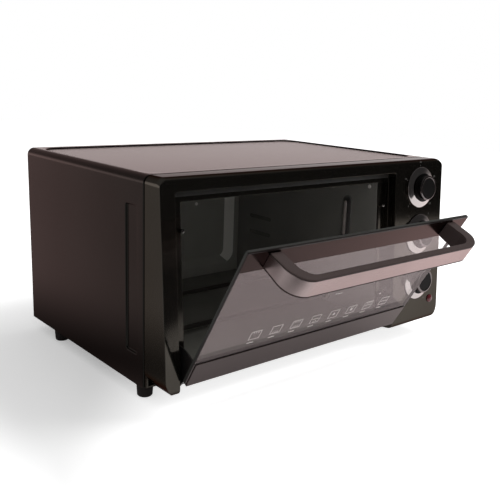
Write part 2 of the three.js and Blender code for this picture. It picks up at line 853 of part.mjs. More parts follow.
function makeBulbClip() {
  const wall = mouthRight - clearance;
  const plateSide = bulbPlateWidth / 2;
  const plateHead = mouthTop - bulbTopDrop + plateSide;
  const plateFoot = mouthTop - bulbTopDrop - bulbLength;
  const crown = plateSide - seam;
  const outline = roundedRect(bulbSetback - plateSide, bulbSetback + plateSide, plateFoot, plateHead,
    [bulbPlateCorner, bulbPlateCorner, crown, crown]);
  const plate = prism("x", outline, wall - cavitySheet, wall, 5);
  const around = bulbRadius + bulbLugWall;
  const lugFoot = plateFoot + bulbLugRise;
  const lug = box(wall - bulbStandOff - around, wall - cavitySheet / 2,
    bulbSetback - around, bulbSetback + around, lugFoot, lugFoot + bulbLugHeight);
  const bore = alongZ(rod(bulbRadius + clearance, plateFoot - slack, plateHead + slack, 16))
    .translate(wall - bulbStandOff, bulbSetback, 0);
  return cut(join(plate, lug), bore);
}

function makeBulb() {
  const head = mouthTop - bulbTopDrop;
  const foot = head - bulbLength;
  return alongZ(turned([
    [0, foot],
    [bulbTipRadius, foot],
    [bulbRadius, foot + bulbRadius],
    [bulbRadius, head - bulbRadius],
    [bulbTipRadius, head],
    [0, head],
  ], 16)).translate(mouthRight - clearance - bulbStandOff, bulbSetback, 0);
}

addPiece(oven, "thermostat_bulb_clip", makeBulbClip(), "bareSteel");
addPiece(oven, "thermostat_bulb", makeBulb(), "copper");

// ---------------------------------------------------------------- controls

function controls() {
  const names = ["timer", "function_switch", "thermostat"];
  return names.map((name, row) => ({ name, z: timerPlace + row * knobPitch }));
}

function makeSkirt() {
  const bore = gripHubRadius + clearance;
  const foot = clearance;
  return forward(turned([
    [bore, foot],
    [skirtRadius, foot],
    [skirtRadius, foot + skirtRim],
    [skirtRadius - skirtBevel, foot + skirtRim + skirtBevel],
    [gripRadius + skirtShoulder, skirtRise],
    [gripRadius, skirtTop],
    [bore, skirtTop],
    [bore, foot],
  ], 36));
}

function makeGrip() {
  const seat = skirtTop + clearance;
  const step = gripHeight - trimHeight;
  const face = trimRadius - trimWidth - clearance;
  const bore = shaftRadius + clearance;
  const socket = seat + shaftGrip + clearance;
  return forward(turned([
    [bore, clearance],
    [gripHubRadius, clearance],
    [gripHubRadius, seat],
    [gripRadius, seat],
    [gripRadius, step],
    [face, step],
    [face, gripHeight - gripBevel],
    [face - gripBevel, gripHeight],
    [0, gripHeight],
    [0, socket],
    [bore, socket],
    [bore, clearance],
  ], 28));
}

function makeTrim() {
  const inner = trimRadius - trimWidth;
  const foot = gripHeight - trimHeight + clearance;
  const head = gripHeight + trimProud;
  return forward(turned([
    [inner, foot],
    [trimRadius, foot],
    [trimRadius, head - trimOuterBevel],
    [trimRadius - trimOuterBevel, head],
    [inner + trimInnerBevel, head],
    [inner, head - trimInnerBevel],
    [inner, foot],
  ], 28));
}

function makeShaft() {
  const back = controlPlateSetback + controlPlateSheet + shaftSocket;
  return forward(rod(shaftRadius, -back, skirtTop + clearance + shaftGrip));
}

/** A control body behind the plate, with the socket that the shaft turns in. */
function makeControlBody(block) {
  const face = controlPlateSetback + controlPlateSheet + clearance;
  const socket = forward(rod(shaftRadius + clearance, -face - shaftSocket - clearance, slack));
  return cut(block.translate(0, face, 0), socket);
}

function controlBlock(width, height, length) {
  return box(-width / 2, width / 2, 0, length, -height / 2, height / 2);
}

const controlBlocks = {
  timer: () => controlBlock(timerWidth, timerHeight, timerLength),
  function_switch: () => controlBlock(switchSize, switchSize, switchLength),
  thermostat: () => rod(thermostatRadius, 0, thermostatLength, 28),
};

function makeControlPlate() {
  const left = openingRight + fasciaWall + clearance;
  const right = half - fasciaWall - clearance;
  const foot = bottom + controlPlateFoot;
  const span = (top - fasciaWall - clearance - foot) / Math.cos(rake) - fasciaEdgeRadius;
  const back = controlPlateSetback + controlPlateSheet;
  const radius = fasciaCornerRadius - fasciaWall;
  const plate = prism("y", roundedRect(left, right, 0, span, [0, radius, casingEdgeRadius, 0]),
    controlPlateSetback, back).rotateX(-rake).translate(0, frontY(foot), foot);
  const shaftHoles = controls().map(({ z }) => onFront(
    rod(shaftRadius + clearance, 0, slack), controlX, z));
  const lampHole = onFront(rod(lampBodyRadius + clearance, 0, slack), lampPlace.x, lampPlace.z);
  return cut(plate, ...shaftHoles, lampHole);
}

addPiece(oven, "control_plate", makeControlPlate(), "bareSteel");
for (const { name, z } of controls()) {
  const seat = new THREE.Group();
  seat.position.set(controlX, frontY(z), z);
  seat.rotation.x = -rake;
  oven.add(seat);
  addPiece(seat, `${name}_body`, makeControlBody(controlBlocks[name]()), "whitePlastic");
  addPiece(seat, `${name}_shaft`, makeShaft(), "bareSteel");
  addPiece(seat, `${name}_knob_skirt`, makeSkirt(), "chrome");
  addPiece(seat, `${name}_knob_grip`, makeGrip(), "blackPlastic");
  addPiece(seat, `${name}_knob_trim`, makeTrim(), "chrome");
}

function makeLampLens() {
  const steps = 4;
  const dome = Array.from({ length: steps + 1 }, (_, step) => {
    const angle = (step / steps) * (Math.PI / 2);
    return [lampRadius * Math.cos(angle), lampRim + (lampRise - lampRim) * Math.sin(angle)];
  });
  dome[steps][0] = 0;
  return forward(turned([[0, clearance], [lampRadius, clearance], ...dome], 24));
}

const lampSeat = new THREE.Group();
lampSeat.position.set(lampPlace.x, frontY(lampPlace.z), lampPlace.z);
lampSeat.rotation.x = -rake;
oven.add(lampSeat);
addPiece(lampSeat, "pilot_lamp_lens", makeLampLens(), "lampRed");
addPiece(lampSeat, "pilot_lamp_body", forward(rod(lampBodyRadius, -lampBodyLength, 0)), "whitePlastic");

// ---------------------------------------------------------------- door

// The door's group has its origin on the hinge axis. Inside it the glass stands upright,
// +Z runs up the door, and -Y points out of the oven.
const door = new THREE.Group();
door.position.set(0, hingeAxis.y, hingeAxis.z);
door.rotation.x = doorAjar;
oven.add(door);

const handleFoot = doorTop - handleTopDrop - handleHeight;
const handleMiddle = handleFoot + handleHeight / 2;
const handleLegX = handleHalfWidth - handleLeg / 2;

function handleScrewHoles(from, to) {
  return [-1, 1].map((side) => rod(handleScrewRadius + clearance, from, to, 16)
    .translate(doorMiddle + side * handleLegX, 0, handleMiddle));
}

function makeGlass() {
  const outline = evenRect(doorLeft, doorRight, glassFoot, doorTop, glassCornerRadius);
  const pane = prism("y", outline, glassFace, glassBack, 3);
  return cut(pane, ...handleScrewHoles(glassFace - slack, glassBack + slack));
}

function makeRail() {
  const front = glassFace - clearance - railSheet;
  const left = doorLeft + railSideInset;
  const right = doorRight - railSideInset;
  const head = railFoot + railHeight;
  return cut(
    box(left, right, front, railBack, railFoot, head),
    box(left - slack, right + slack, front + railSheet, railBack - railSheet,
      glassFoot - clearance, head + slack),
  );
}

/** The region inside the handle's outer line, drawn in by a margin, open-ended at the glass. */
function handleOutline(margin, foot) {
  const side = handleHalfWidth - margin;
  const reach = handleStandOff - margin;
  const radius = handleOuterRadius - margin;
  return roundedRect(doorMiddle - side, doorMiddle + side, glassFace - reach, glassFace - foot,
    [radius, radius, 0, 0]);
}

/** The space above the legs' tops, which slope down to the glass, lowered by a margin. */
function handleSlope(margin) {
  const head = handleFoot + handleHeight - margin;
  const fall = handleRootDrop / handleRootLength;
  const shape = new THREE.Shape();
  shape.moveTo(glassFace - handleRootLength, head);
  shape.lineTo(glassFace + slack, head - handleRootDrop - fall * slack);
  shape.lineTo(glassFace + slack, head + margin + slack);
  shape.lineTo(glassFace - handleRootLength, head + margin + slack);
  return prism("x", shape, doorMiddle - handleHalfWidth - slack, doorMiddle + handleHalfWidth + slack);
}

function makeHandleBar() {
  const side = handleHalfWidth - handleLeg;
  const grip = roundedRect(doorMiddle - side, doorMiddle + side, glassFace - handleStandOff + handleBar,
    glassFace + slack, [handleInnerRadius, handleInnerRadius, 0, 0]);
  const head = handleFoot + handleHeight;
  const strap = cut(
    prism("z", handleOutline(0, clearance), handleFoot, head, 8),
    prism("z", grip, handleFoot - slack, head + slack, 6),
  );
  const depth = faceThickness + clearance;
  const groove = cut(
    prism("z", handleOutline(-slack, -slack), handleFoot + faceEdge, head - faceEdge, 8),
    prism("z", handleOutline(depth, -2 * slack), handleFoot, head, 8),
    handleSlope(faceEdge),
  );
  const bore = handleScrewHoles(glassFace - handleScrewDepth - clearance, glassFace + slack);
  return cut(strap, groove, handleSlope(0), ...bore);
}

function makeHandleFace() {
  const foot = handleFoot + faceEdge + clearance;
  const head = handleFoot + handleHeight - faceEdge - clearance;
  return cut(
    prism("z", handleOutline(0, clearance), foot, head, 8),
    prism("z", handleOutline(faceThickness, -slack), foot - slack, head + slack, 8),
    handleSlope(faceEdge + clearance),
  );
}

function makeHandleScrew() {
  const head = glassBack + clearance;
  return turned([
    [0, glassFace - handleScrewDepth],
    [handleScrewRadius, glassFace - handleScrewDepth],
    [handleScrewRadius, head],
    [handleScrewHeadRadius, head],
    [handleScrewCrownRadius, head + handleScrewHead],
    [0, head + handleScrewHead],
  ], 16);
}

/** The arm's side view: a lug on the hinge pin, a web up the rail and a curved tail into the slot. */
function hingeArmOutline() {
  const back = railBack + clearance;
  const outer = hingeArmRadius;
  const inner = hingeArmRadius - hingeArmWidth;
  const head = Math.acos(back / outer);
  const tail = THREE.MathUtils.degToRad(hingeArmTailDegrees);
  const heel = THREE.MathUtils.degToRad(hingeArmHeelDegrees);
  const shape = new THREE.Shape();
  shape.moveTo(back, railFoot);
  shape.lineTo(back, outer * Math.sin(head));
  shape.absarc(0, 0, outer, head, tail, true);
  shape.lineTo(inner * Math.cos(tail), inner * Math.sin(tail));
  shape.absarc(0, 0, inner, tail, heel, false);
  shape.lineTo(hingeArmLug, railFoot);
  shape.lineTo(hingeArmLug, 0);
  shape.absarc(0, 0, hingeArmLug, 0, -Math.PI, true);
  const eye = new THREE.Path();
  eye.absarc(0, 0, hingePinRadius + clearance, 0, 2 * Math.PI, false);
  shape.holes.push(eye);
  return shape;
}

addPiece(door, "door_glass", makeGlass(), "glass");
addPiece(door, "door_rail", makeRail(), "railPaint");
addPiece(door, "handle_bar", makeHandleBar(), "handleBase");
addPiece(door, "handle_face", makeHandleFace(), "handleBrushed");

const sides = [
  { name: "left", inward: 1, jamb: openingLeft, edge: doorLeft },
  { name: "right", inward: -1, jamb: openingRight, edge: doorRight },
];
for (const { name, inward, edge } of sides) {
  const near = edge + inward * hingeArmInset;
  const far = near + inward * hingeArmSheet;
  const arm = prism("x", hingeArmOutline(), Math.min(near, far), Math.max(near, far), 7);
  addPiece(door, `hinge_arm_${name}`, arm, "blackPlastic");
  addPiece(door, `handle_screw_${name}`, makeHandleScrew(), "bareSteel")
    .position.set(doorMiddle - inward * handleLegX, 0, handleMiddle);
}

/** A bracket on the sill's front wall whose ear carries the inner end of the hinge pin. */
function makeHingeBracket(near, inward) {
  const far = near + inward * bracketSheet;
  const wall = sillSetback - clearance - hingeAxis.y;
  const low = bottom + bracketFoot - hingeAxis.z;
  const ear = new THREE.Shape();
  ear.moveTo(0, -bracketLug);
  ear.lineTo(wall, low);
  ear.lineTo(wall, bracketLug);
  ear.lineTo(0, bracketLug);
  ear.absarc(0, 0, bracketLug, Math.PI / 2, 1.5 * Math.PI, false);
  const plate = prism("x", ear, Math.min(near, far), Math.max(near, far), 8);
  const end = far + inward * bracketFlange;
  const flange = box(Math.min(near, end), Math.max(near, end), wall - bracketSheet, wall, low, bracketLug);
  const bore = alongX(rod(hingePinRadius + clearance, near - slack, near + slack, 20));
  return cut(join(plate, flange), bore);
}

for (const { name, inward, jamb } of sides) {
  const pinStart = jamb + inward * clearance;
  const pinEnd = jamb + inward * hingePinLength;
  const pin = alongX(rod(hingePinRadius, Math.min(pinStart, pinEnd), Math.max(pinStart, pinEnd)));
  addPiece(oven, `hinge_pin_${name}`, pin, "bareSteel").position.set(0, hingeAxis.y, hingeAxis.z);
  const bracket = makeHingeBracket(jamb + inward * hingeSlotWidth, inward);
  addPiece(oven, `hinge_bracket_${name}`, bracket, "bareSteel").position.set(0, hingeAxis.y, hingeAxis.z);
}

// ---------------------------------------------------------------- origin

const bounds = new THREE.Box3().setFromObject(oven);
const middle = bounds.getCenter(new THREE.Vector3());
oven.position.set(-middle.x, -middle.y, -bounds.min.z);

export default oven;
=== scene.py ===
"""Looks of a countertop toaster oven, built around its packed construction model.

The construction model gives every piece its size and place. This script dresses those pieces,
and replaces the ones whose curves and edges show with finer meshes in the same places. All
sizes are in metres, +Z is up and the oven's front faces -Y.
"""

import json
import logging
import math
from dataclasses import dataclass, field
from enum import Enum

import bmesh
import bpy
from mathutils import Matrix, Vector

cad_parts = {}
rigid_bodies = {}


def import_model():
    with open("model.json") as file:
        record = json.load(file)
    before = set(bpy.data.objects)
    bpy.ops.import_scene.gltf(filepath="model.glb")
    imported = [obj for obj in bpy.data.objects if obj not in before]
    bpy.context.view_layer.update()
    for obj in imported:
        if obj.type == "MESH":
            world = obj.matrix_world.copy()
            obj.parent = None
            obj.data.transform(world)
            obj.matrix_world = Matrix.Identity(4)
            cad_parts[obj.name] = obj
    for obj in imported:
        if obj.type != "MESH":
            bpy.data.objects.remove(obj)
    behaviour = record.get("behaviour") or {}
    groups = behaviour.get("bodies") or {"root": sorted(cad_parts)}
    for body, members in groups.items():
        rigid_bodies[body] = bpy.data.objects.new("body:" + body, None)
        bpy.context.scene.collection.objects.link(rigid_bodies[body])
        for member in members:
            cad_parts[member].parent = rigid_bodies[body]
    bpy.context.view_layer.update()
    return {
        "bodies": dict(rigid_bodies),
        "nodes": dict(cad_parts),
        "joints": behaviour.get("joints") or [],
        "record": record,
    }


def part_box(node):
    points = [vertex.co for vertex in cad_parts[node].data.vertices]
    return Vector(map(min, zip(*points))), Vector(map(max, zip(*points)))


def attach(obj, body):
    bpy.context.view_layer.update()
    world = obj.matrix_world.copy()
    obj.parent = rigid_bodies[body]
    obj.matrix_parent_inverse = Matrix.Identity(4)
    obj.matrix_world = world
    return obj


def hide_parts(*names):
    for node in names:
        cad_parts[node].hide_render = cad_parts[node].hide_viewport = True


LOG = logging.getLogger("toaster_oven")
MM = 0.001
MERGE = 2e-6  # metres under which two points are one
PRINT_GAP = 0.02 * MM  # between raised print and what carries it
PRINT_THICKNESS = 0.04 * MM  # of the scales' ticks and letters
COAT_ROUGHNESS = 0.08
DRIFT_SCALE = 9.0  # slow changes of colour in a metre
SMEAR_SCALE = 14.0  # wiping marks on the glass in a metre
# ROSE stands in for the warm tint of the surroundings, painted into the reflections of most finishes
ROSE = (1.0, 0.79, 0.77, 1.0)  # the warm tint of the reflections on most finishes
PLAIN = (1.0, 1.0, 1.0, 1.0)  # untinted reflections


class Body(Enum):
    """The rigid bodies of the construction model."""

    CASING = "casing"
    DOOR = "door"
    THERMOSTAT = "thermostat_knob"
    FUNCTION = "function_switch_knob"
    TIMER = "timer_knob"


# ---------------------------------------------------------------- materials


class Tree:
    """A shader node tree, with short ways to add and join its nodes."""

    def __init__(self, tree: bpy.types.NodeTree) -> None:
        """Take over a node tree and empty it.

        Args:
            tree: The tree of a material or of the surroundings.
        """
        self.tree = tree
        self.tree.nodes.clear()

    def add(self, kind: str, **settings: object) -> bpy.types.Node:
        """Add a node.

        Args:
            kind: The node's type name.
            settings: Node properties to set.

        Returns:
            The new node.
        """
        node = self.tree.nodes.new(kind)
        for key, value in settings.items():
            setattr(node, key, value)
        return node

    def link(self, source: bpy.types.Node, output: str | int, target: bpy.types.Node,
             name: str | int) -> None:
        """Join an output socket to an input socket."""
        self.tree.links.new(source.outputs[output], target.inputs[name])

    def feed(self, kind: str, *sources: tuple, **settings: object) -> bpy.types.Node:
        """Add a node whose inputs are joined, in order, to other nodes.

        Args:
            kind: The node's type name.
            sources: The (node, output) that feeds each input.
            settings: Node properties to set.

        Returns:
            The new node.
        """
        node = self.add(kind, **settings)
        for place, (source, output) in enumerate(sources):
            self.link(source, output, node, place)
        return node

    def map(self, source: tuple, ends: tuple, levels: tuple, curve: str = "SMOOTHSTEP") -> bpy.types.Node:
        """Turn one range of values into another.

        Args:
            source: The (node, output) that is read.
            ends: The value where the change starts and where it ends.
            levels: What it changes from and to.
            curve: How it changes between them.

        Returns:
            The node whose result changes.
        """
        node = self.feed("ShaderNodeMapRange", source, interpolation_type=curve)
        for socket, value in zip(("From Min", "From Max", "To Min", "To Max"), (*ends, *levels)):
            node.inputs[socket].default_value = value
        return node


class Nodes(Tree):
    """Builds one node material around a Principled shader."""

    def __init__(self, name: str) -> None:
        """Start an empty material.

        Args:
            name: The material's name.
        """
        self.material = bpy.data.materials.new(name)
        self.material.use_nodes = True
        super().__init__(self.material.node_tree)
        self.shader = self.add("ShaderNodeBsdfPrincipled")
        self.output = self.add("ShaderNodeOutputMaterial")
        self.link(self.shader, "BSDF", self.output, "Surface")

    def set(self, **values: object) -> None:
        """Set the shader's own sockets; underscores in the names stand for spaces."""
        for key, value in values.items():
            self.shader.inputs[key.replace("_", " ")].default_value = value

    def place(self, stretch: Vector = Vector((1, 1, 1)), turn: float = 0.0) -> bpy.types.Node:
        """Object coordinates, stretched and turned about X.

        Args:
            stretch: Scale of the pattern along each axis.
            turn: Angle about X in radians that the pattern is turned back by.

        Returns:
            The mapping node.
        """
        coordinates = self.add("ShaderNodeTexCoord")
        mapping = self.add("ShaderNodeMapping")
        mapping.inputs["Scale"].default_value = stretch
        mapping.inputs["Rotation"].default_value = (turn, 0, 0)
        self.link(coordinates, "Object", mapping, "Vector")
        return mapping

    def noise(self, source: bpy.types.Node, scale: float, detail: float = 3.0) -> bpy.types.Node:
        """Add a noise texture.

        Args:
            source: Node that gives the coordinates.
            scale: Features per metre.
            detail: Octaves of finer noise.

        Returns:
            The noise node.
        """
        node = self.add("ShaderNodeTexNoise")
        node.inputs["Scale"].default_value = scale
        node.inputs["Detail"].default_value = detail
        self.link(source, "Vector", node, "Vector")
        return node

    def ramp(self, source: bpy.types.Node, stops: list[tuple[float, tuple]]) -> bpy.types.Node:
        """Add a colour ramp over a value.

        Args:
            source: Node whose Fac output is read.
            stops: (position, rgba) pairs.

        Returns:
            The ramp node.
        """
        node = self.add("ShaderNodeValToRGB")
        elements = node.color_ramp.elements
        for index, (position, colour) in enumerate(stops):
            element = elements[index] if index < 2 else elements.new(position)
            element.position = position
            element.color = colour
        self.link(source, 0, node, "Fac")
        return node

    def spread(self, source: bpy.types.Node, low: float, high: float, target: str) -> None:
        """Map a 0 to 1 value to a range and link it to a socket of the shader.

        Args:
            source: Node whose first output is read.
            low: Value where the source is 0.25.
            high: Value where the source is 0.75.
            target: The shader's socket.
        """
        node = self.map((source, 0), (0.25, 0.75), (low, high), "LINEAR")
        self.link(node, "Result", self.shader, target)

    def bump(self, source: bpy.types.Node, depth: float) -> None:
        """Raise the surface by a pattern.

        Args:
            source: Node whose first output is the height.
            depth: Height in metres between the pattern's 0 and 1.
        """
        node = self.add("ShaderNodeBump")
        node.inputs["Distance"].default_value = depth
        self.link(source, 0, node, "Height")
        self.link(node, "Normal", self.shader, "Normal")


def stand(name: str, data: bpy.types.ID) -> bpy.types.Object:
    """Put a new object in the scene.

    Args:
        name: The object's name.
        data: What it shows.

    Returns:
        The object.
    """
    thing = bpy.data.objects.new(name, data)
    bpy.context.scene.collection.objects.link(thing)
    return thing


def tone(colour: tuple, factor: float) -> tuple:
    """A colour made lighter or darker, as rgba."""
    return tuple(min(channel * factor, 1.0) for channel in colour[:3]) + (1.0,)


@dataclass(frozen=True)
class Finish:
    """A surface finish with a fine texture.

    Attributes:
        name: The material's name.
        colour: Linear base colour.
        roughness: Middle roughness.
        metallic: 1 for bare metal.
        specular: Specular level.
        grain: Size in metres of the surface's fine grain.
        relief: Height of that grain in metres.
        variation: How far colour and roughness drift over the surface.
        gleam: Tint of the reflection.
        coat: Weight of a clear coat.
    """

    name: str
    colour: tuple
    roughness: float = 0.4
    metallic: float = 0.0
    specular: float = 0.5
    grain: float = 0.0008
    relief: float = 0.00001
    variation: float = 0.08
    gleam: tuple = ROSE
    coat: float = 0.0

    def material(self) -> bpy.types.Material:
        """Build the finish's material.

        Returns:
            The node material.
        """
        nodes = Nodes(self.name)
        nodes.set(Metallic=self.metallic, Specular_IOR_Level=self.specular)
        nodes.set(Specular_Tint=self.gleam, Coat_Weight=self.coat,
                  Coat_Roughness=COAT_ROUGHNESS)
        self.colour_surface(nodes)
        self.roughen(nodes)
        return nodes.material

    def colour_surface(self, nodes: Nodes) -> None:
        """Drift the colour slowly over the surface.

        Args:
            nodes: The material that is being built.
        """
        drift = nodes.noise(nodes.place(), DRIFT_SCALE, 2.0)
        low = tone(self.colour, 1 - self.variation)
        high = tone(self.colour, 1 + self.variation)
        ramp = nodes.ramp(drift, [(0.3, low), (0.7, high)])
        nodes.link(ramp, "Color", nodes.shader, "Base Color")

    def roughen(self, nodes: Nodes) -> None:
        """Give the surface its grain, in roughness and in relief.

        Args:
            nodes: The material that is being built.
        """
        grain = nodes.noise(nodes.place(), 1 / self.grain)
        nodes.spread(grain, self.roughness * (1 - self.variation), self.roughness * (1 + self.variation),
                     "Roughness")
        nodes.bump(grain, self.relief)


@dataclass(frozen=True)
class Brushed(Finish):
    """Metal brushed along X: long fine scratches that follow a panel.

    Attributes:
        metallic: 1, as it is bare metal.
        lean: Angle in radians about X that the brushed panel leans by.
    """

    metallic: float = 1.0
    lean: float = 0.0

    def roughen(self, nodes: Nodes) -> None:
        """Draw long scratches along X, in roughness and in relief.

        Args:
            nodes: The material that is being built.
        """
        lines = nodes.noise(nodes.place(Vector((0.02, 1, 1)), self.lean), 1 / self.grain, 2.0)
        nodes.spread(lines, self.roughness * 0.8, self.roughness * 1.25, "Roughness")
        nodes.bump(lines, self.relief)


@dataclass(frozen=True)
class Glass:
    """Tempered door glass with a faintly tinted reflective coat.

    Attributes:
        name: The material's name.
        tint: Colour that passes through it.
        opacity: Share of light that the coat stops.
    """

    name: str
    tint: tuple
    opacity: float

    def material(self) -> bpy.types.Material:
        """Build the glass.

        Returns:
            The node material.
        """
        nodes = Nodes(self.name)
        smear = nodes.noise(nodes.place(), SMEAR_SCALE, 4.0)
        nodes.spread(smear, 0.08, 0.14, "Roughness")
        nodes.set(Base_Color=self.tint, Alpha=self.opacity, Metallic=1.0)
        nodes.material.use_transparent_shadow = True
        return nodes.material


class Palette:
    """The oven's finishes, each built once."""

    FINISHES = (
        Finish("casing_paint", (0.026, 0.0248, 0.0225), roughness=0.22, metallic=1.0, relief=0.00002),
        Finish("fascia_gloss", (0.080, 0.072, 0.062), roughness=0.09, metallic=0.96, grain=0.004,
               relief=0.000002, gleam=tone(ROSE, 0.34)),
        Finish("cavity_enamel", (0.20, 0.195, 0.175), roughness=0.24, metallic=0.3, grain=0.003,
               gleam=PLAIN),
        # lighter copies of cavity_enamel for the chamber's walls and back: painted light
        Finish("lit_wall_enamel", (0.24, 0.232, 0.212), roughness=0.24, metallic=0.1, grain=0.003,
               gleam=PLAIN),
        Finish("lit_back_enamel", (0.33, 0.325, 0.29), roughness=0.2, metallic=0.1, grain=0.003,
               gleam=PLAIN),
        # a pale enamel for the back's right-hand slope: painted highlight
        Finish("painted_highlight_enamel", (0.78, 0.77, 0.71), roughness=0.3, grain=0.003, gleam=PLAIN),
        Finish("recess_strip_matt", (0.027, 0.025, 0.022), roughness=0.6, relief=0.00002, gleam=PLAIN),
        # a darker copy of chrome for the door stops: painted shade that dims their reflections
        Finish("shaded_stop_chrome", (0.22, 0.21, 0.20), roughness=0.22, metallic=1.0, grain=0.003,
               relief=0.000001),
        Finish("chrome", (0.60, 0.55, 0.54), roughness=0.10, metallic=1.0, grain=0.003, relief=0.000001),
        Finish("knob_black", (0.003, 0.003, 0.003), roughness=0.34, specular=0.1, relief=0.000006),
        Finish("rail_paint", (0.07, 0.054, 0.053), roughness=0.3, metallic=0.3),
        Finish("band_paint", (0.045, 0.034, 0.033), roughness=0.16, relief=0.000002, grain=0.003),
        # a darker metallic copy of band_paint for the door's head band: painted shade
        Finish("shaded_band_paint", (0.034, 0.028, 0.027), roughness=0.2, metallic=1.0, relief=0.000002,
               grain=0.003),
        Finish("handle_plastic", (0.062, 0.046, 0.044), roughness=0.26, specular=0.12, relief=0.000005),
        Finish("hinge_black", (0.008, 0.008, 0.008), roughness=0.35),
        Finish("zinc_steel", (0.42, 0.42, 0.43), roughness=0.35, metallic=1.0, variation=0.2,
               gleam=PLAIN),
        Finish("heater_sheath", (0.060, 0.055, 0.048), roughness=0.42, metallic=0.6, variation=0.3,
               gleam=PLAIN),
        Finish("ceramic", (0.30, 0.28, 0.24), roughness=0.6, grain=0.0012, relief=0.00003, gleam=PLAIN),
        Finish("bulb_metal", (0.30, 0.27, 0.25), roughness=0.5, metallic=0.3, specular=0.2),
        # a darker copy of chrome for the knobs' rings: painted shade
        Finish("shaded_trim_chrome", (0.20, 0.18, 0.18), roughness=0.12, metallic=1.0, grain=0.003, relief=0.000001),
        Finish("rivet_grey", (0.75, 0.72, 0.68), roughness=0.4, metallic=0.2, gleam=PLAIN),
        Finish("rubber", (0.010, 0.010, 0.010), roughness=0.75, relief=0.00003),
        Finish("gland_plastic", (0.012, 0.012, 0.012), roughness=0.5, relief=0.00002),
        Finish("control_plastic", (0.72, 0.70, 0.64), roughness=0.5, relief=0.00002, gleam=PLAIN),
        Finish("lamp_red", (0.11, 0.015, 0.02), roughness=0.2, coat=0.3, grain=0.0015, relief=0.00002),
        Finish("print_grey", (0.12, 0.115, 0.11), roughness=0.5),
        Finish("print_white", (0.80, 0.75, 0.73), roughness=0.5),
        Finish("print_black", (0.010, 0.008, 0.008), roughness=0.4),
        Finish("glass_edge", (0.036, 0.036, 0.033), roughness=0.4, specular=0.2, gleam=PLAIN),
        Brushed("handle_steel", (0.46, 0.37, 0.365), roughness=0.30, grain=0.0004, relief=0.000004,
                lean=math.radians(30.5)),
        Glass("door_glass", (0.74, 0.60, 0.60, 1.0), 0.20),
    )

    def __init__(self) -> None:
        """Build every finish's material."""
        self.materials = {finish.name: finish.material() for finish in self.FINISHES}

    def dress(self, piece: bpy.types.Object, name: str) -> None:
        """Give a piece one finish all over.

        Args:
            piece: The mesh object.
            name: The finish's name.
        """
        piece.data.materials.clear()
        piece.data.materials.append(self.materials[name])


SLOT_FINISHES = {name: name for name in (
    "casing_paint", "fascia_gloss", "hinge_black", "cavity_enamel", "heater_sheath", "gland_plastic",
    "control_plastic", "knob_black", "lamp_red", "door_glass", "rail_paint", "handle_plastic",
    "handle_steel")}
SLOT_FINISHES |= {
    "bare_steel": "zinc_steel",
    "bumper_chrome": "shaded_stop_chrome",
    "bush_ceramic": "ceramic",
    "bulb_copper": "bulb_metal",
    "foot_rubber": "rubber",
    "knob_chrome": "chrome",
}


# ---------------------------------------------------------------- shapes


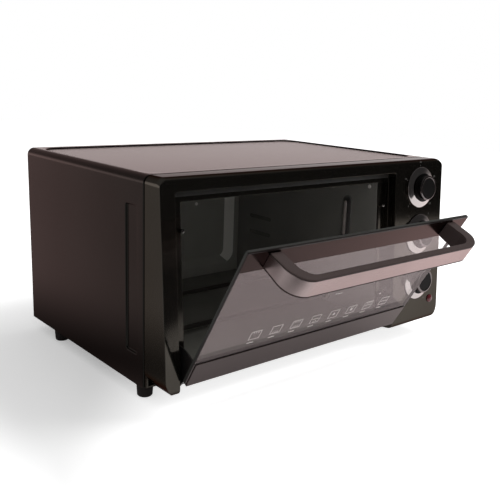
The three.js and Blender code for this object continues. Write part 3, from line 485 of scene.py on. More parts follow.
class Shape:
    """A mesh in the making, shaped with mesh operators."""

    def __init__(self) -> None:
        """Start an empty mesh."""
        self.bm = bmesh.new()

    @classmethod
    def block(cls, low: tuple, high: tuple) -> "Shape":
        """A box between two corners.

        Args:
            low: Its lowest corner.
            high: Its highest corner.

        Returns:
            The box.
        """
        shape = cls()
        middle = (Vector(low) + Vector(high)) / 2
        size = Matrix.Diagonal((*(Vector(high) - Vector(low)), 1))
        bmesh.ops.create_cube(shape.bm, size=1, matrix=Matrix.Translation(middle) @ size)
        return shape

    @classmethod
    def outline(cls, corners: list[tuple], segments: int = 8) -> "Shape":
        """A flat face in the XY plane with rounded corners.

        Args:
            corners: (x, y, radius) of each corner, anticlockwise.
            segments: Faces around each rounded corner.

        Returns:
            The flat shape.
        """
        shape = cls()
        verts = [shape.bm.verts.new((x, y, 0)) for x, y, _ in corners]
        shape.bm.faces.new(verts)
        for vert, (_, _, radius) in zip(verts, corners):
            if radius:
                sides = [edge.other_vert(vert).co - vert.co for edge in vert.link_edges]
                reach = radius / math.tan(sides[0].angle(sides[1]) / 2)
                bmesh.ops.bevel(shape.bm, geom=[vert], offset=reach, offset_type="OFFSET",
                                segments=segments, profile=0.5, affect="VERTICES",
                                clamp_overlap=False, material=-1)
        return shape

    @classmethod
    def rectangle(cls, low: tuple, high: tuple, radius: float = 0.0) -> "Shape":
        """A flat rectangle in the XY plane with equal corner radii."""
        return cls.outline([(low[0], low[1], radius), (high[0], low[1], radius),
                            (high[0], high[1], radius), (low[0], high[1], radius)])

    @classmethod
    def disc(cls, radius: float, segments: int = 32) -> "Shape":
        """A flat disc in the XY plane.

        Args:
            radius: Its radius.
            segments: Edges around it.

        Returns:
            The flat shape.
        """
        shape = cls()
        bmesh.ops.create_circle(shape.bm, cap_ends=True, segments=segments, radius=radius)
        return shape

    @classmethod
    def spun(cls, profile: list[tuple], steps: int = 64, ring: bool = False) -> "Shape":
        """Spin a profile once around Z.

        Args:
            profile: (radius, height) points, from axis to axis unless it is a ring's.
            steps: Faces around the axis.
            ring: Whether the profile closes on itself.

        Returns:
            The turned solid.
        """
        shape = cls()
        verts = [shape.bm.verts.new((radius, 0, height)) for radius, height in profile]
        pairs = list(zip(verts, verts[1:]))
        if ring:
            pairs.append((verts[-1], verts[0]))
        edges = [shape.bm.edges.new(pair) for pair in pairs]
        bmesh.ops.spin(shape.bm, geom=verts + edges, cent=(0, 0, 0), axis=(0, 0, 1), dvec=(0, 0, 0),
                       angle=math.tau, steps=steps, use_merge=True, use_duplicate=False)
        return shape.merge()

    def copy_faces(self, mesh: bpy.types.Mesh) -> "Shape":
        """Add a construction piece's mesh, merged back into whole flat faces.

        Args:
            mesh: The piece's mesh.

        Returns:
            The shape itself.
        """
        self.bm.from_mesh(mesh)
        bmesh.ops.remove_doubles(self.bm, verts=self.bm.verts[:], dist=MERGE)
        bmesh.ops.dissolve_limit(self.bm, angle_limit=math.radians(0.6), verts=self.bm.verts[:],
                                 edges=self.bm.edges[:], use_dissolve_boundaries=False)
        bmesh.ops.connect_verts_concave(self.bm, faces=self.bm.faces[:])
        return self

    def merge(self, distance: float = MERGE) -> "Shape":
        """Close seams and poles, and turn the faces outwards.

        Args:
            distance: How near two points are to become one.

        Returns:
            The shape itself.
        """
        bmesh.ops.remove_doubles(self.bm, verts=self.bm.verts[:], dist=distance)
        bmesh.ops.recalc_face_normals(self.bm, faces=self.bm.faces[:])
        return self

    def join(self, *others: "Shape") -> "Shape":
        """Take other shapes in.

        Args:
            others: The shapes, which are used up.

        Returns:
            The shape itself.
        """
        for other in others:
            mesh = bpy.data.meshes.new("joining")
            other.bm.to_mesh(mesh)
            other.bm.free()
            self.bm.from_mesh(mesh)
            bpy.data.meshes.remove(mesh)
        return self

    def sweep(self, depth: float) -> "Shape":
        """Give a flat shape a thickness along Z.

        Args:
            depth: The thickness.

        Returns:
            The shape itself.
        """
        self.grow(depth)
        bmesh.ops.recalc_face_normals(self.bm, faces=self.bm.faces[:])
        return self

    def grow(self, depth: float) -> None:
        """Extrude every face along Z.

        Args:
            depth: How far; below 0 for downwards.
        """
        grown = bmesh.ops.extrude_face_region(self.bm, geom=self.bm.faces[:])
        verts = [item for item in grown["geom"] if isinstance(item, bmesh.types.BMVert)]
        bmesh.ops.translate(self.bm, verts=verts, vec=(0, 0, depth))

    def tray(self, depth: float) -> "Shape":
        """Sink a flat shape along Z and leave its walls, open where it was.

        Args:
            depth: How deep it sinks.

        Returns:
            The shape itself.
        """
        self.grow(-depth)
        rim = [face for face in self.bm.faces if all(abs(vert.co.z) < MERGE for vert in face.verts)]
        bmesh.ops.delete(self.bm, geom=rim, context="FACES_ONLY")
        return self

    def pierce(self, face: bmesh.types.BMFace, *holes: "Shape") -> "Shape":
        """Replace a flat face by one with holes.

        Args:
            face: The face to pierce.
            holes: Flat outlines that lie in the face.

        Returns:
            The shape itself.
        """
        normal = face.normal.copy()
        rim = face.edges[:]
        bmesh.ops.delete(self.bm, geom=[face], context="FACES_ONLY")
        self.bm.edges.ensure_lookup_table()
        known = set(self.bm.edges)
        for hole in holes:
            bmesh.ops.delete(hole.bm, geom=hole.bm.faces[:], context="FACES_ONLY")
        self.join(*holes)
        new = [edge for edge in self.bm.edges if edge not in known]
        bmesh.ops.triangle_fill(self.bm, use_beauty=True, use_dissolve=False, edges=rim + new,
                                normal=normal)
        return self

    def round_edges(self, width: float, segments: int = 2, angle: float = 25.0) -> "Shape":
        """Round the shape's sharp edges.

        Args:
            width: How far each edge is rounded back.
            segments: Faces across each rounded edge.
            angle: Angle in degrees past which an edge counts as sharp.

        Returns:
            The shape itself.
        """
        limit = math.radians(angle)
        sharp = [edge for edge in self.bm.edges if edge.is_manifold and edge.calc_face_angle(0) > limit]
        bmesh.ops.bevel(self.bm, geom=sharp, offset=width, offset_type="OFFSET", segments=segments,
                        profile=0.5, affect="EDGES", clamp_overlap=False, material=-1)
        return self

    def place(self, matrix: Matrix) -> "Shape":
        """Move the shape."""
        bmesh.ops.transform(self.bm, matrix=matrix, space=Matrix.Identity(4), verts=self.bm.verts[:])
        return self

    def shift(self, x: float = 0.0, y: float = 0.0, z: float = 0.0) -> "Shape":
        """Move the shape along the axes."""
        return self.place(Matrix.Translation((x, y, z)))

    def finished(self, name: str, sharp: float = 32.0) -> bpy.types.Object:
        """Turn the shape into an object with smooth rounded edges.

        Args:
            name: The piece's name.
            sharp: Angle in degrees past which an edge stays sharp.

        Returns:
            The mesh object, at the origin.
        """
        mesh = bpy.data.meshes.new(name)
        self.bm.to_mesh(mesh)
        self.bm.free()
        mesh.shade_smooth()
        mesh.set_sharp_from_angle(angle=math.radians(sharp))
        return stand(name, mesh)


UPRIGHT = Matrix.Rotation(math.pi / 2, 4, "X")  # takes a shape in XY to XZ, with its thickness to -Y


def arrow(direction: Vector, point: Vector) -> Matrix:
    """The place of a shape whose Z points along a direction, with its Y upwards."""
    return Matrix.Translation(point) @ direction.to_track_quat("Z", "Y").to_matrix().to_4x4()


@dataclass
class Bench:
    """What every sub-assembly works with.

    Attributes:
        frame: The loaded construction model.
        palette: The finishes.
    """

    frame: dict
    palette: Palette

    def slot_of(self, node: str) -> str:
        """The material slot that a construction piece has."""
        pieces = self.frame["record"]["subparts"]
        return next(piece["material_slot"] for piece in pieces if piece["node"] == node)

    def joint(self, name: str) -> dict:
        """A joint of the record."""
        return next(j for j in self.frame["record"]["behaviour"]["joints"] if j["name"] == name)

    def fit(self, piece: bpy.types.Object, body: Body, finish: str, *nodes: str,
            slot: str = "") -> bpy.types.Object:
        """Put a new piece on its body and dress it.

        Args:
            piece: The piece.
            body: The body that it rides on.
            finish: Its finish.
            nodes: Construction pieces that it stands for.
            slot: Material slot, where it stands for no construction piece; not used.

        Returns:
            The piece.
        """
        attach(piece, body.value)
        if nodes:
            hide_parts(*nodes)
        self.palette.dress(piece, finish)
        LOG.info("%s: %d faces on %s", piece.name, len(piece.data.polygons), body.value)
        return piece

    def refine(self, node: str, name: str, body: Body, finish: str, width: float,
               segments: int = 2) -> bpy.types.Object:
        """Fit a copy of a construction piece with its edges rounded.

        Args:
            node: The construction piece.
            name: The new piece's name.
            body: The body that it rides on.
            finish: Its finish.
            width: How far each edge is rounded back.
            segments: Faces across each rounded edge.

        Returns:
            The new piece.
        """
        shape = Shape().copy_faces(self.frame["nodes"][node].data).round_edges(width, segments)
        piece = shape.finished(name)
        weigh_normals(piece)
        return self.fit(piece, body, finish, node)


def weigh_normals(piece: bpy.types.Object) -> None:
    """Keep a piece's flat faces flat in shading, beside its rounded edges.

    Args:
        piece: The mesh object.
    """
    modifier = piece.modifiers.new("flat_faces", "WEIGHTED_NORMAL")
    modifier.keep_sharp = True
    modifier.weight = 100


# ---------------------------------------------------------------- sub-assemblies


@dataclass
class Casing:
    """The painted steel wrapper over the oven's top and sides.

    Attributes:
        sheet: Thickness of the steel.
        bend: Outside radius of its two long bends.
        front_return: Width of the flange turned in at the front.
        top_rim: Width of the raised rim along the top's sides and rear.
        top_front_rim: Width of the raised rim along the top's front.
        top_drop: Depth of the panel pressed into the top.
        top_corner: Radius of that panel's corners.
        groove_setback: Distance of the side groove from the front edge.
        groove_width: Width of the side groove.
        groove_foot: Height of its foot above the casing's bottom edge.
        groove_height: Height of the groove.
        groove_drop: Depth of the groove.
        groove_corner: Radius of its corners.
        vents: Number of cooling slots in the right side.
        vent_length: Length of a slot.
        vent_width: Width of a slot.
        vent_pitch: Distance between slots.
        vent_inset: Distance of the slots from the rear edge.
        vent_foot: Height of the lowest slot above the casing's bottom edge.
        fold: How far the wrapper's pressed edges are rounded.
        cover_edge: How far the rear cover's and the bottom pan's edges are rounded.
    """

    bench: Bench
    sheet: float = 1.2 * MM
    bend: float = 9 * MM
    front_return: float = 8 * MM
    top_rim: float = 11 * MM
    top_front_rim: float = 9 * MM
    top_drop: float = 1.5 * MM
    top_corner: float = 25 * MM
    groove_setback: float = 13.5 * MM
    groove_width: float = 21.5 * MM
    groove_foot: float = 35 * MM
    groove_height: float = 160 * MM
    groove_drop: float = 2 * MM
    groove_corner: float = 3 * MM
    vents: int = 8
    vent_length: float = 60 * MM
    vent_width: float = 3 * MM
    vent_pitch: float = 9 * MM
    vent_inset: float = 40 * MM
    vent_foot: float = 110 * MM
    fold: float = 1.3 * MM
    cover_edge: float = 0.35 * MM

    def build(self) -> None:
        """Make the wrapper and round the edges of what closes it."""
        low, high = (Vector(corner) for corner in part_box("casing_wrapper"))
        shape = self.tube(low, high)
        self.press_top(shape, low, high)
        for side in (-1, 1):
            self.press_side(shape, low, high, side)
        bmesh.ops.remove_doubles(shape.bm, verts=shape.bm.verts[:], dist=5 * MERGE)
        shape.round_edges(self.fold, 3, 40)
        wrapper = shape.finished("wrapper")
        self.part_rims(wrapper)
        wall = wrapper.modifiers.new("sheet", "SOLIDIFY")
        wall.thickness = self.sheet
        wall.offset = -1
        weigh_normals(wrapper)
        self.bench.fit(wrapper, Body.CASING, "casing_paint", "casing_wrapper")
        for node, name in (("rear_panel", "rear_cover"), ("base_pan", "bottom_pan")):
            self.bench.refine(node, name, Body.CASING, "casing_paint", self.cover_edge)

    def part_rims(self, sheet: bpy.types.Object) -> None:
        """Mark a sheet's open edges as sharp, so that its cut rims stay out of the shading of its faces.

        Args:
            sheet: The sheet's outer surface, before it gets its thickness.
        """
        bm = bmesh.new()
        bm.from_mesh(sheet.data)
        for edge in bm.edges:
            if edge.is_boundary:
                edge.smooth = False
        bm.to_mesh(sheet.data)
        bm.free()

    def tube(self, low: Vector, high: Vector) -> Shape:
        """The wrapper's plain bent sheet, open below, in front and behind.

        Args:
            low: The wrapper's lowest corner.
            high: Its highest corner.

        Returns:
            The sheet's outer surface.
        """
        shape = Shape.outline([(low.x, low.z, 0), (high.x, low.z, 0), (high.x, high.z, self.bend),
                               (low.x, high.z, self.bend)])
        shape.sweep(high.y - low.y).place(Matrix.Translation((0, high.y, 0)) @ UPRIGHT)
        bm = shape.bm
        bmesh.ops.recalc_face_normals(bm, faces=bm.faces[:])
        front = min(bm.faces, key=lambda face: face.calc_center_median().y)
        rear = max(bm.faces, key=lambda face: face.calc_center_median().y)
        bmesh.ops.inset_region(bm, faces=[front], thickness=self.front_return, use_even_offset=True)
        foot = low.z + self.front_return
        below = [face for face in bm.faces if face.calc_center_median().z < foot and abs(face.normal.x) < 0.5
                 and abs(face.calc_center_median().x) < self.bend]
        bmesh.ops.delete(bm, geom=list({front, rear, *below}), context="FACES")
        return shape

    def press_top(self, shape: Shape, low: Vector, high: Vector) -> None:
        """Press the shallow panel into the top.

        Args:
            shape: The wrapper's surface.
            low: The wrapper's lowest corner.
            high: Its highest corner.
        """
        corners = ((low.x + self.top_rim, low.y + self.top_front_rim),
                   (high.x - self.top_rim, high.y - self.top_rim))
        roof = max(shape.bm.faces, key=lambda face: face.normal.z * face.calc_area())
        panel = Shape.rectangle(*corners, self.top_corner).shift(z=high.z)
        shape.pierce(roof, panel)
        shape.join(Shape.rectangle(*corners, self.top_corner).tray(self.top_drop).shift(z=high.z))

    def press_side(self, shape: Shape, low: Vector, high: Vector, side: int) -> None:
        """Press the upright groove into a side, and cut the right side's cooling slots.

        Args:
            shape: The wrapper's surface.
            low: The wrapper's lowest corner.
            high: Its highest corner.
            side: -1 for the left side, 1 for the right.
        """
        across = Matrix.Translation((side * high.x, 0, 0)) @ Matrix(((0, 0, side, 0), (side, 0, 0, 0),
                                                                    (0, 1, 0, 0), (0, 0, 0, 1)))
        start = low.y + self.groove_setback
        ends = sorted((side * start, side * (start + self.groove_width)))
        foot = low.z + self.groove_foot
        corners = ((ends[0], foot), (ends[1], foot + self.groove_height))
        wall = max(shape.bm.faces, key=lambda face: side * face.normal.x * face.calc_area())
        holes = [Shape.rectangle(*corners, self.groove_corner).place(across)]
        if side > 0:
            holes += [self.vent(low, high, row).place(across) for row in range(self.vents)]
        shape.pierce(wall, *holes)
        shape.join(Shape.rectangle(*corners, self.groove_corner).tray(self.groove_drop).place(across))

    def vent(self, low: Vector, high: Vector, row: int) -> Shape:
        """One cooling slot of the right side, in the side's own plane.

        Args:
            low: The wrapper's lowest corner.
            high: Its highest corner.
            row: Number of slots below it.

        Returns:
            The slot's outline.
        """
        foot = low.z + self.vent_foot + row * self.vent_pitch
        rear = high.y - self.vent_inset
        return Shape.rectangle((rear - self.vent_length, foot), (rear, foot + self.vent_width),
                               0.49 * self.vent_width)


@dataclass
class Screw:
    """A pan-head screw with a cross recess, seen from its head.

    Attributes:
        radius: Radius of the head.
        crown: Radius of the flat on top of it.
        height: Height of the head.
        arm: Half the length of the recess.
        slot: Width of the recess's arms.
        depth: Depth of the recess.
    """

    radius: float = 3.6 * MM
    crown: float = 2.6 * MM
    height: float = 2.0 * MM
    arm: float = 1.9 * MM
    slot: float = 0.9 * MM
    depth: float = 0.9 * MM

    def shape(self) -> Shape:
        """The head, standing on the XY plane.

        Returns:
            The solid head with its recess.
        """
        head = Shape.spun([(0, 0), (self.radius, 0), (self.radius, 0.3 * self.height),
                           (0.93 * self.radius, 0.62 * self.height), (self.crown, self.height),
                           (0, self.height)], 32)
        bmesh.ops.dissolve_limit(head.bm, angle_limit=0.01, verts=head.bm.verts[:], edges=head.bm.edges[:],
                                 use_dissolve_boundaries=False)
        crown = max(head.bm.faces, key=lambda face: face.calc_center_median().z)
        head.pierce(crown, self.cross().shift(z=self.height))
        head.join(self.cross().tray(self.depth).shift(z=self.height))
        return head.merge()

    def cross(self) -> Shape:
        """The recess's outline.

        Returns:
            The flat cross.
        """
        inner, outer = self.slot / 2, self.arm
        quarter = [(outer, -inner), (outer, inner), (inner, inner)]
        corners = []
        for turn in range(4):
            angle = turn * math.pi / 2
            cos, sin = math.cos(angle), math.sin(angle)
            corners += [(x * cos - y * sin, x * sin + y * cos, 0) for x, y in quarter]
        return Shape.outline(corners)


@dataclass
class Fittings:
    """The feet, the rear screws and the cord's gland.

    Attributes:
        foot_groove: Height of the fine groove around each foot.
        dimple: Radius of the hollow under each foot.
        dimple_depth: Depth of that hollow.
        stem: Radius of the stem that a foot is held by.
        stem_length: Length of the stem.
    """

    bench: Bench
    foot_groove: float = 11 * MM
    dimple: float = 4 * MM
    dimple_depth: float = 1.6 * MM
    stem: float = 3 * MM
    stem_length: float = 5 * MM

    def build(self) -> None:
        """Make them all."""
        for end in ("front", "rear"):
            for side in ("left", "right"):
                self.foot(f"{end}_{side}")
        for number in range(1, 5):
            self.rear_screw(number)
        self.bench.refine("cord_gland", "cord_sleeve", Body.CASING, "gland_plastic", 0.6 * MM, 3)

    def foot(self, place: str) -> None:
        """Turn one rubber foot.

        Args:
            place: Which end and side it stands at.
        """
        node = f"foot_{place}"
        low, high = (Vector(corner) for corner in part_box(node))
        radius = (high.x - low.x) / 2
        neck = high.z - self.stem_length
        groove, hollow = self.foot_groove, self.dimple_depth
        profile = [(0, hollow), (self.dimple, hollow), (self.dimple + 0.4 * MM, 0),
                   (radius - 2.2 * MM, 0), (radius - MM, 1.2 * MM), (radius - 0.35 * MM, groove - 0.5 * MM),
                   (radius - 0.9 * MM, groove), (radius - 0.3 * MM, groove + 0.5 * MM), (radius, neck),
                   (self.stem, neck), (self.stem, high.z), (0, high.z)]
        shape = Shape.spun(profile, 48).round_edges(0.35 * MM, 2, 30)
        shape.shift(x=(low.x + high.x) / 2, y=(low.y + high.y) / 2, z=low.z)
        self.bench.fit(shape.finished(f"rubber_foot_{place}"), Body.CASING, "rubber", node)

    def rear_screw(self, number: int) -> None:
        """Make one of the rear cover's screws.

        Args:
            number: Which of them.
        """
        node = f"rear_screw_{number}"
        low, high = (Vector(corner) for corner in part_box(node))
        head = Screw()
        point = Vector(((low.x + high.x) / 2, high.y - head.height, (low.z + high.z) / 2))
        shape = head.shape().place(arrow(Vector((0, 1, 0)), point))
        self.bench.fit(shape.finished(f"rear_cover_screw_{number}", 25), Body.CASING, "zinc_steel", node)


@dataclass
class Front:
    """The glossy front moulding with its door stops and pilot lamp.

    Attributes:
        face_setback: Distance of the recess's floor behind the front.
        run: How far the foot of the raked front stands forward of its head.
        rise: Height over which it does.
        strip_foot: Height of the seal's lower edge below the moulding's top.
        strip_head: Height of its upper edge below it.
        strip_depth: Thickness of the seal.
        crown_run: How far back from its front edge the moulding's top starts to fall.
        crown_fall: How far it falls to that edge.
        crown_steps: Faces across the falling part.
        crown_foot: Depth below the top where nothing falls yet.
        crown_blend: Height over which the fall grows to its full amount.
        lens_facets: Faces around the lamp's lens.
        lens_rise: Height of the lens's crown above its foot.
        edge: How far the moulding's edges are rounded.
    """

    bench: Bench
    face_setback: float = 12.5 * MM
    run: float = 16 * MM
    rise: float = 228 * MM
    strip_foot: float = 21.6 * MM
    strip_head: float = 15.0 * MM
    strip_depth: float = 1.2 * MM
    crown_run: float = 8 * MM
    crown_fall: float = 2.6 * MM
    crown_steps: int = 5
    crown_foot: float = 11 * MM
    crown_blend: float = 9 * MM
    lens_facets: int = 40
    lens_rise: float = 3 * MM
    edge: float = 0.6 * MM

    def build(self) -> None:
        """Round the moulding's edges and make the small parts on it."""
        shape = Shape().copy_faces(self.bench.frame["nodes"]["front_fascia"].data)
        moulding = self.crown(shape).round_edges(self.edge, 3).finished("front_moulding")
        weigh_normals(moulding)
        self.bench.fit(moulding, Body.CASING, "fascia_gloss", "front_fascia")
        # the door stops get a darker copy of chrome: painted shade
        for side in ("left", "right"):
            self.bench.refine(f"door_bumper_{side}", f"door_stop_{side}", Body.CASING, "shaded_stop_chrome",
                              0.25 * MM)
        self.head_strip()
        self.lens()

    def head_strip(self) -> None:
        """A thin matt strip along the head of the door's recess, leaning with the front."""
        high = Vector(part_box("front_fascia")[1])
        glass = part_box("door_glass")
        strip = Shape.block((glass[0][0], 0, high.z - self.strip_foot),
                            (glass[1][0], 1, high.z - self.strip_head))
        for vert in strip.bm.verts:
            face = self.front_at_top() + self.face_setback - self.run * (high.z - vert.co.z) / self.rise
            vert.co.y = face - (self.strip_depth if vert.co.y < 0.5 else 0.05 * MM)
        self.bench.fit(strip.round_edges(0.4 * MM, 2).finished("recess_head_strip"), Body.CASING, "recess_strip_matt",
                       slot="foot_rubber")

    def front_at_top(self) -> float:
        """How far back the raked front lies at the moulding's top."""
        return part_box("front_fascia")[0][1] + self.run

    def crown(self, shape: Shape) -> Shape:
        """Let the moulding's top fall in a curve to its front edge.

        Args:
            shape: The moulding.

        Returns:
            The same shape.
        """
        top = max(vert.co.z for vert in shape.bm.verts)
        front = min(vert.co.y for vert in shape.bm.verts if vert.co.z > top - 4 * MM)
        start = front + self.crown_run
        for step in range(self.crown_steps):
            plane = (0, start - self.crown_run * step / self.crown_steps, 0)
            high = [face for face in shape.bm.faces if face.calc_center_median().z > top - 6 * MM]
            edges = {edge for face in high for edge in face.edges}
            bmesh.ops.bisect_plane(shape.bm, geom=high + list(edges), dist=1e-7, plane_co=plane,
                                   plane_no=(0, 1, 0))
        for vert in shape.bm.verts:
            along = min(max((start - vert.co.y) / self.crown_run, 0.0), 1.0)
            share = min(max((vert.co.z - top + self.crown_foot) / self.crown_blend, 0.0), 1.0)
            vert.co.z -= self.crown_fall * along ** 2 * share
        return shape

    def lens(self) -> None:
        """Turn the lamp's domed lens, with its prismatic rim."""
        low, high = (Vector(corner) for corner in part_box("pilot_lamp_lens"))
        outward = -Vector(self.bench.joint("timer_turn")["axis"]).normalized()
        radius = (high.x - low.x) / 2
        rise = self.lens_rise
        profile = [(0, 0), (radius, 0), (radius, 0.9 * MM), (0.9 * radius, 1.7 * MM),
                   (0.62 * radius, 2.5 * MM), (0.3 * radius, 0.96 * rise), (0, rise)]
        middle = (low + high) / 2 - outward * rise / 2
        shape = Shape.spun(profile, self.lens_facets).round_edges(0.25 * MM, 2, 30)
        shape.place(arrow(outward, middle))
        self.bench.fit(shape.finished("pilot_lens"), Body.CASING, "lamp_red", "pilot_lamp_lens")


@dataclass
class Knob:
    """A chrome-skirted control knob with a black grip, and the scale printed around it.

    Attributes:
        body: The body that the knob turns with.
        joint: The joint that turns it.
        scale: The words of the scale, clockwise from its first mark.
        first: Clock angle in degrees of the first mark, from straight up.
        last: Clock angle of the last mark.
        skirt: Radius of the chrome skirt.
        grip: Radius of the black grip.
        flange: Radius of the black foot that the grip stands on.
        trim: Outside radius of the chrome ring around the grip's face.
        face: Radius of the black face inside that ring.
        grip_foot: Height of the grip's foot above the front.
        grip_head: Height of its face.
        scale_radius: Radius of the scale's numbers.
        facets: Faces around each of the knob's parts.
        seat: The place of the knob's foot, found when it is built.
    """

    bench: Bench
    body: Body
    joint: str
    scale: tuple
    first: float
    last: float
    skirt: float = 27 * MM
    grip: float = 15.2 * MM
    flange: float = 19.0 * MM
    trim: float = 16.2 * MM
    face: float = 13.2 * MM
    grip_foot: float = 5.9 * MM
    grip_head: float = 14.2 * MM
    scale_radius: float = 33.5 * MM
    facets: int = 72
    seat: Matrix = field(init=False)

    def build(self) -> None:
        """Make the knob and its scale."""
        joint = self.bench.joint(self.joint)
        outward = -Vector(joint["axis"]).normalized()
        self.seat = arrow(outward, Vector(joint["pos_m"]))
        name = self.body.value
        self.turned(f"{name}_cup", self.skirt_profile(), "chrome", f"{name}_skirt")
        self.turned(f"{name}_barrel", self.grip_profile(), "knob_black", f"{name}_grip")
        foot, head = self.grip_head - 2 * MM, self.grip_head + 0.4 * MM
        ring = Shape.spun([(self.face, foot), (self.trim, foot), (self.trim, self.grip_head - 0.5 * MM),
                           (self.trim - 0.9 * MM, head), (self.face + 0.5 * MM, head),
                           (self.face, self.grip_head)], self.facets, ring=True)
        ring.round_edges(0.2 * MM, 2, 20).place(self.seat)
        # the ring gets a darker copy of chrome: painted shade
        self.bench.fit(ring.finished(f"{name}_ring"), self.body, "shaded_trim_chrome", f"{name}_trim")
        self.print_scale()

    def turned(self, name: str, profile: list[tuple], finish: str, node: str) -> None:
        """Turn one part of the knob and put it in place."""
        shape = Shape.spun(profile, self.facets).round_edges(0.3 * MM, 3, 20).place(self.seat)
        self.bench.fit(shape.finished(name), self.body, finish, node)

    def skirt_profile(self) -> list[tuple]:
        """The flared skirt: a short upright rim, then a shallow hollow cone up to the grip.

        Returns:
            Its (radius, height) points.
        """
        edge = self.skirt
        return [(0, 0.3 * MM), (edge - 0.5 * MM, 0.3 * MM), (edge, 0.8 * MM), (edge, 1.7 * MM),
                (edge - 0.8 * MM, 2.3 * MM), (0.84 * edge, 2.9 * MM), (0.72 * edge, 3.9 * MM),
                (0.64 * edge, 5.1 * MM), (0.61 * edge, 5.5 * MM), (0, 5.6 * MM)]

    def grip_profile(self) -> list[tuple]:
        """The grip: a plain barrel with a shoulder for the ring and a slightly dished face.

        Returns:
            Its (radius, height) points.
        """
        foot, head, grip, face = self.grip_foot, self.grip_head, self.grip, self.face - 0.1 * MM
        shoulder = head - 2.1 * MM
        return [(0, foot), (self.flange, foot), (self.flange, foot + 0.6 * MM),
                (grip + 0.6 * MM, foot + 1.4 * MM), (grip, foot + 2 * MM), (grip, shoulder), (face, shoulder),
                (face, head - 0.3 * MM), (self.face - MM, head), (0, head - 0.5 * MM)]

    def print_scale(self) -> None:
        """Print the ticks and numbers around the skirt."""
        scale = Shape()
        count = len(self.scale)
        for index, word in enumerate(self.scale):
            clock = math.radians(self.first + (self.last - self.first) * index / (count - 1))
            spot = Vector((math.sin(clock), math.cos(clock), 0)) * self.scale_radius
            tick = Shape.block((-0.3 * MM, self.skirt + 1.2 * MM, 0),
                               (0.3 * MM, self.skirt + 2.8 * MM, PRINT_THICKNESS))
            scale.join(tick.place(Matrix.Rotation(-clock, 4, "Z")))
            scale.join(lettering(word, 3.4 * MM).shift(x=spot.x, y=spot.y))
        scale.place(self.seat @ Matrix.Translation((0, 0, PRINT_GAP)))
        piece = scale.finished(f"{self.body.value}_scale")
        self.bench.fit(piece, Body.CASING, "print_grey", slot="control_plastic")


def lettering(word: str, height: float) -> Shape:
    """Raised print of a plain word or number, centred on the origin.

    Args:
        word: The characters.
        height: The font size in metres.

    Returns:
        The solid letters.
    """
    curve = bpy.data.curves.new("numeral", "FONT")
    curve.body = word
    curve.size = height
    curve.align_x = "CENTER"
    curve.align_y = "CENTER"
    curve.resolution_u = 3
    curve.extrude = PRINT_THICKNESS / 2
    holder = stand("numeral", curve)
    mesh = bpy.data.meshes.new_from_object(holder.evaluated_get(bpy.context.evaluated_depsgraph_get()))
    shape = Shape()
    shape.bm.from_mesh(mesh)
    bpy.data.objects.remove(holder)
    bpy.data.curves.remove(curve)
    bpy.data.meshes.remove(mesh)
    return shape.merge(MERGE / 2).shift(z=PRINT_THICKNESS / 2)


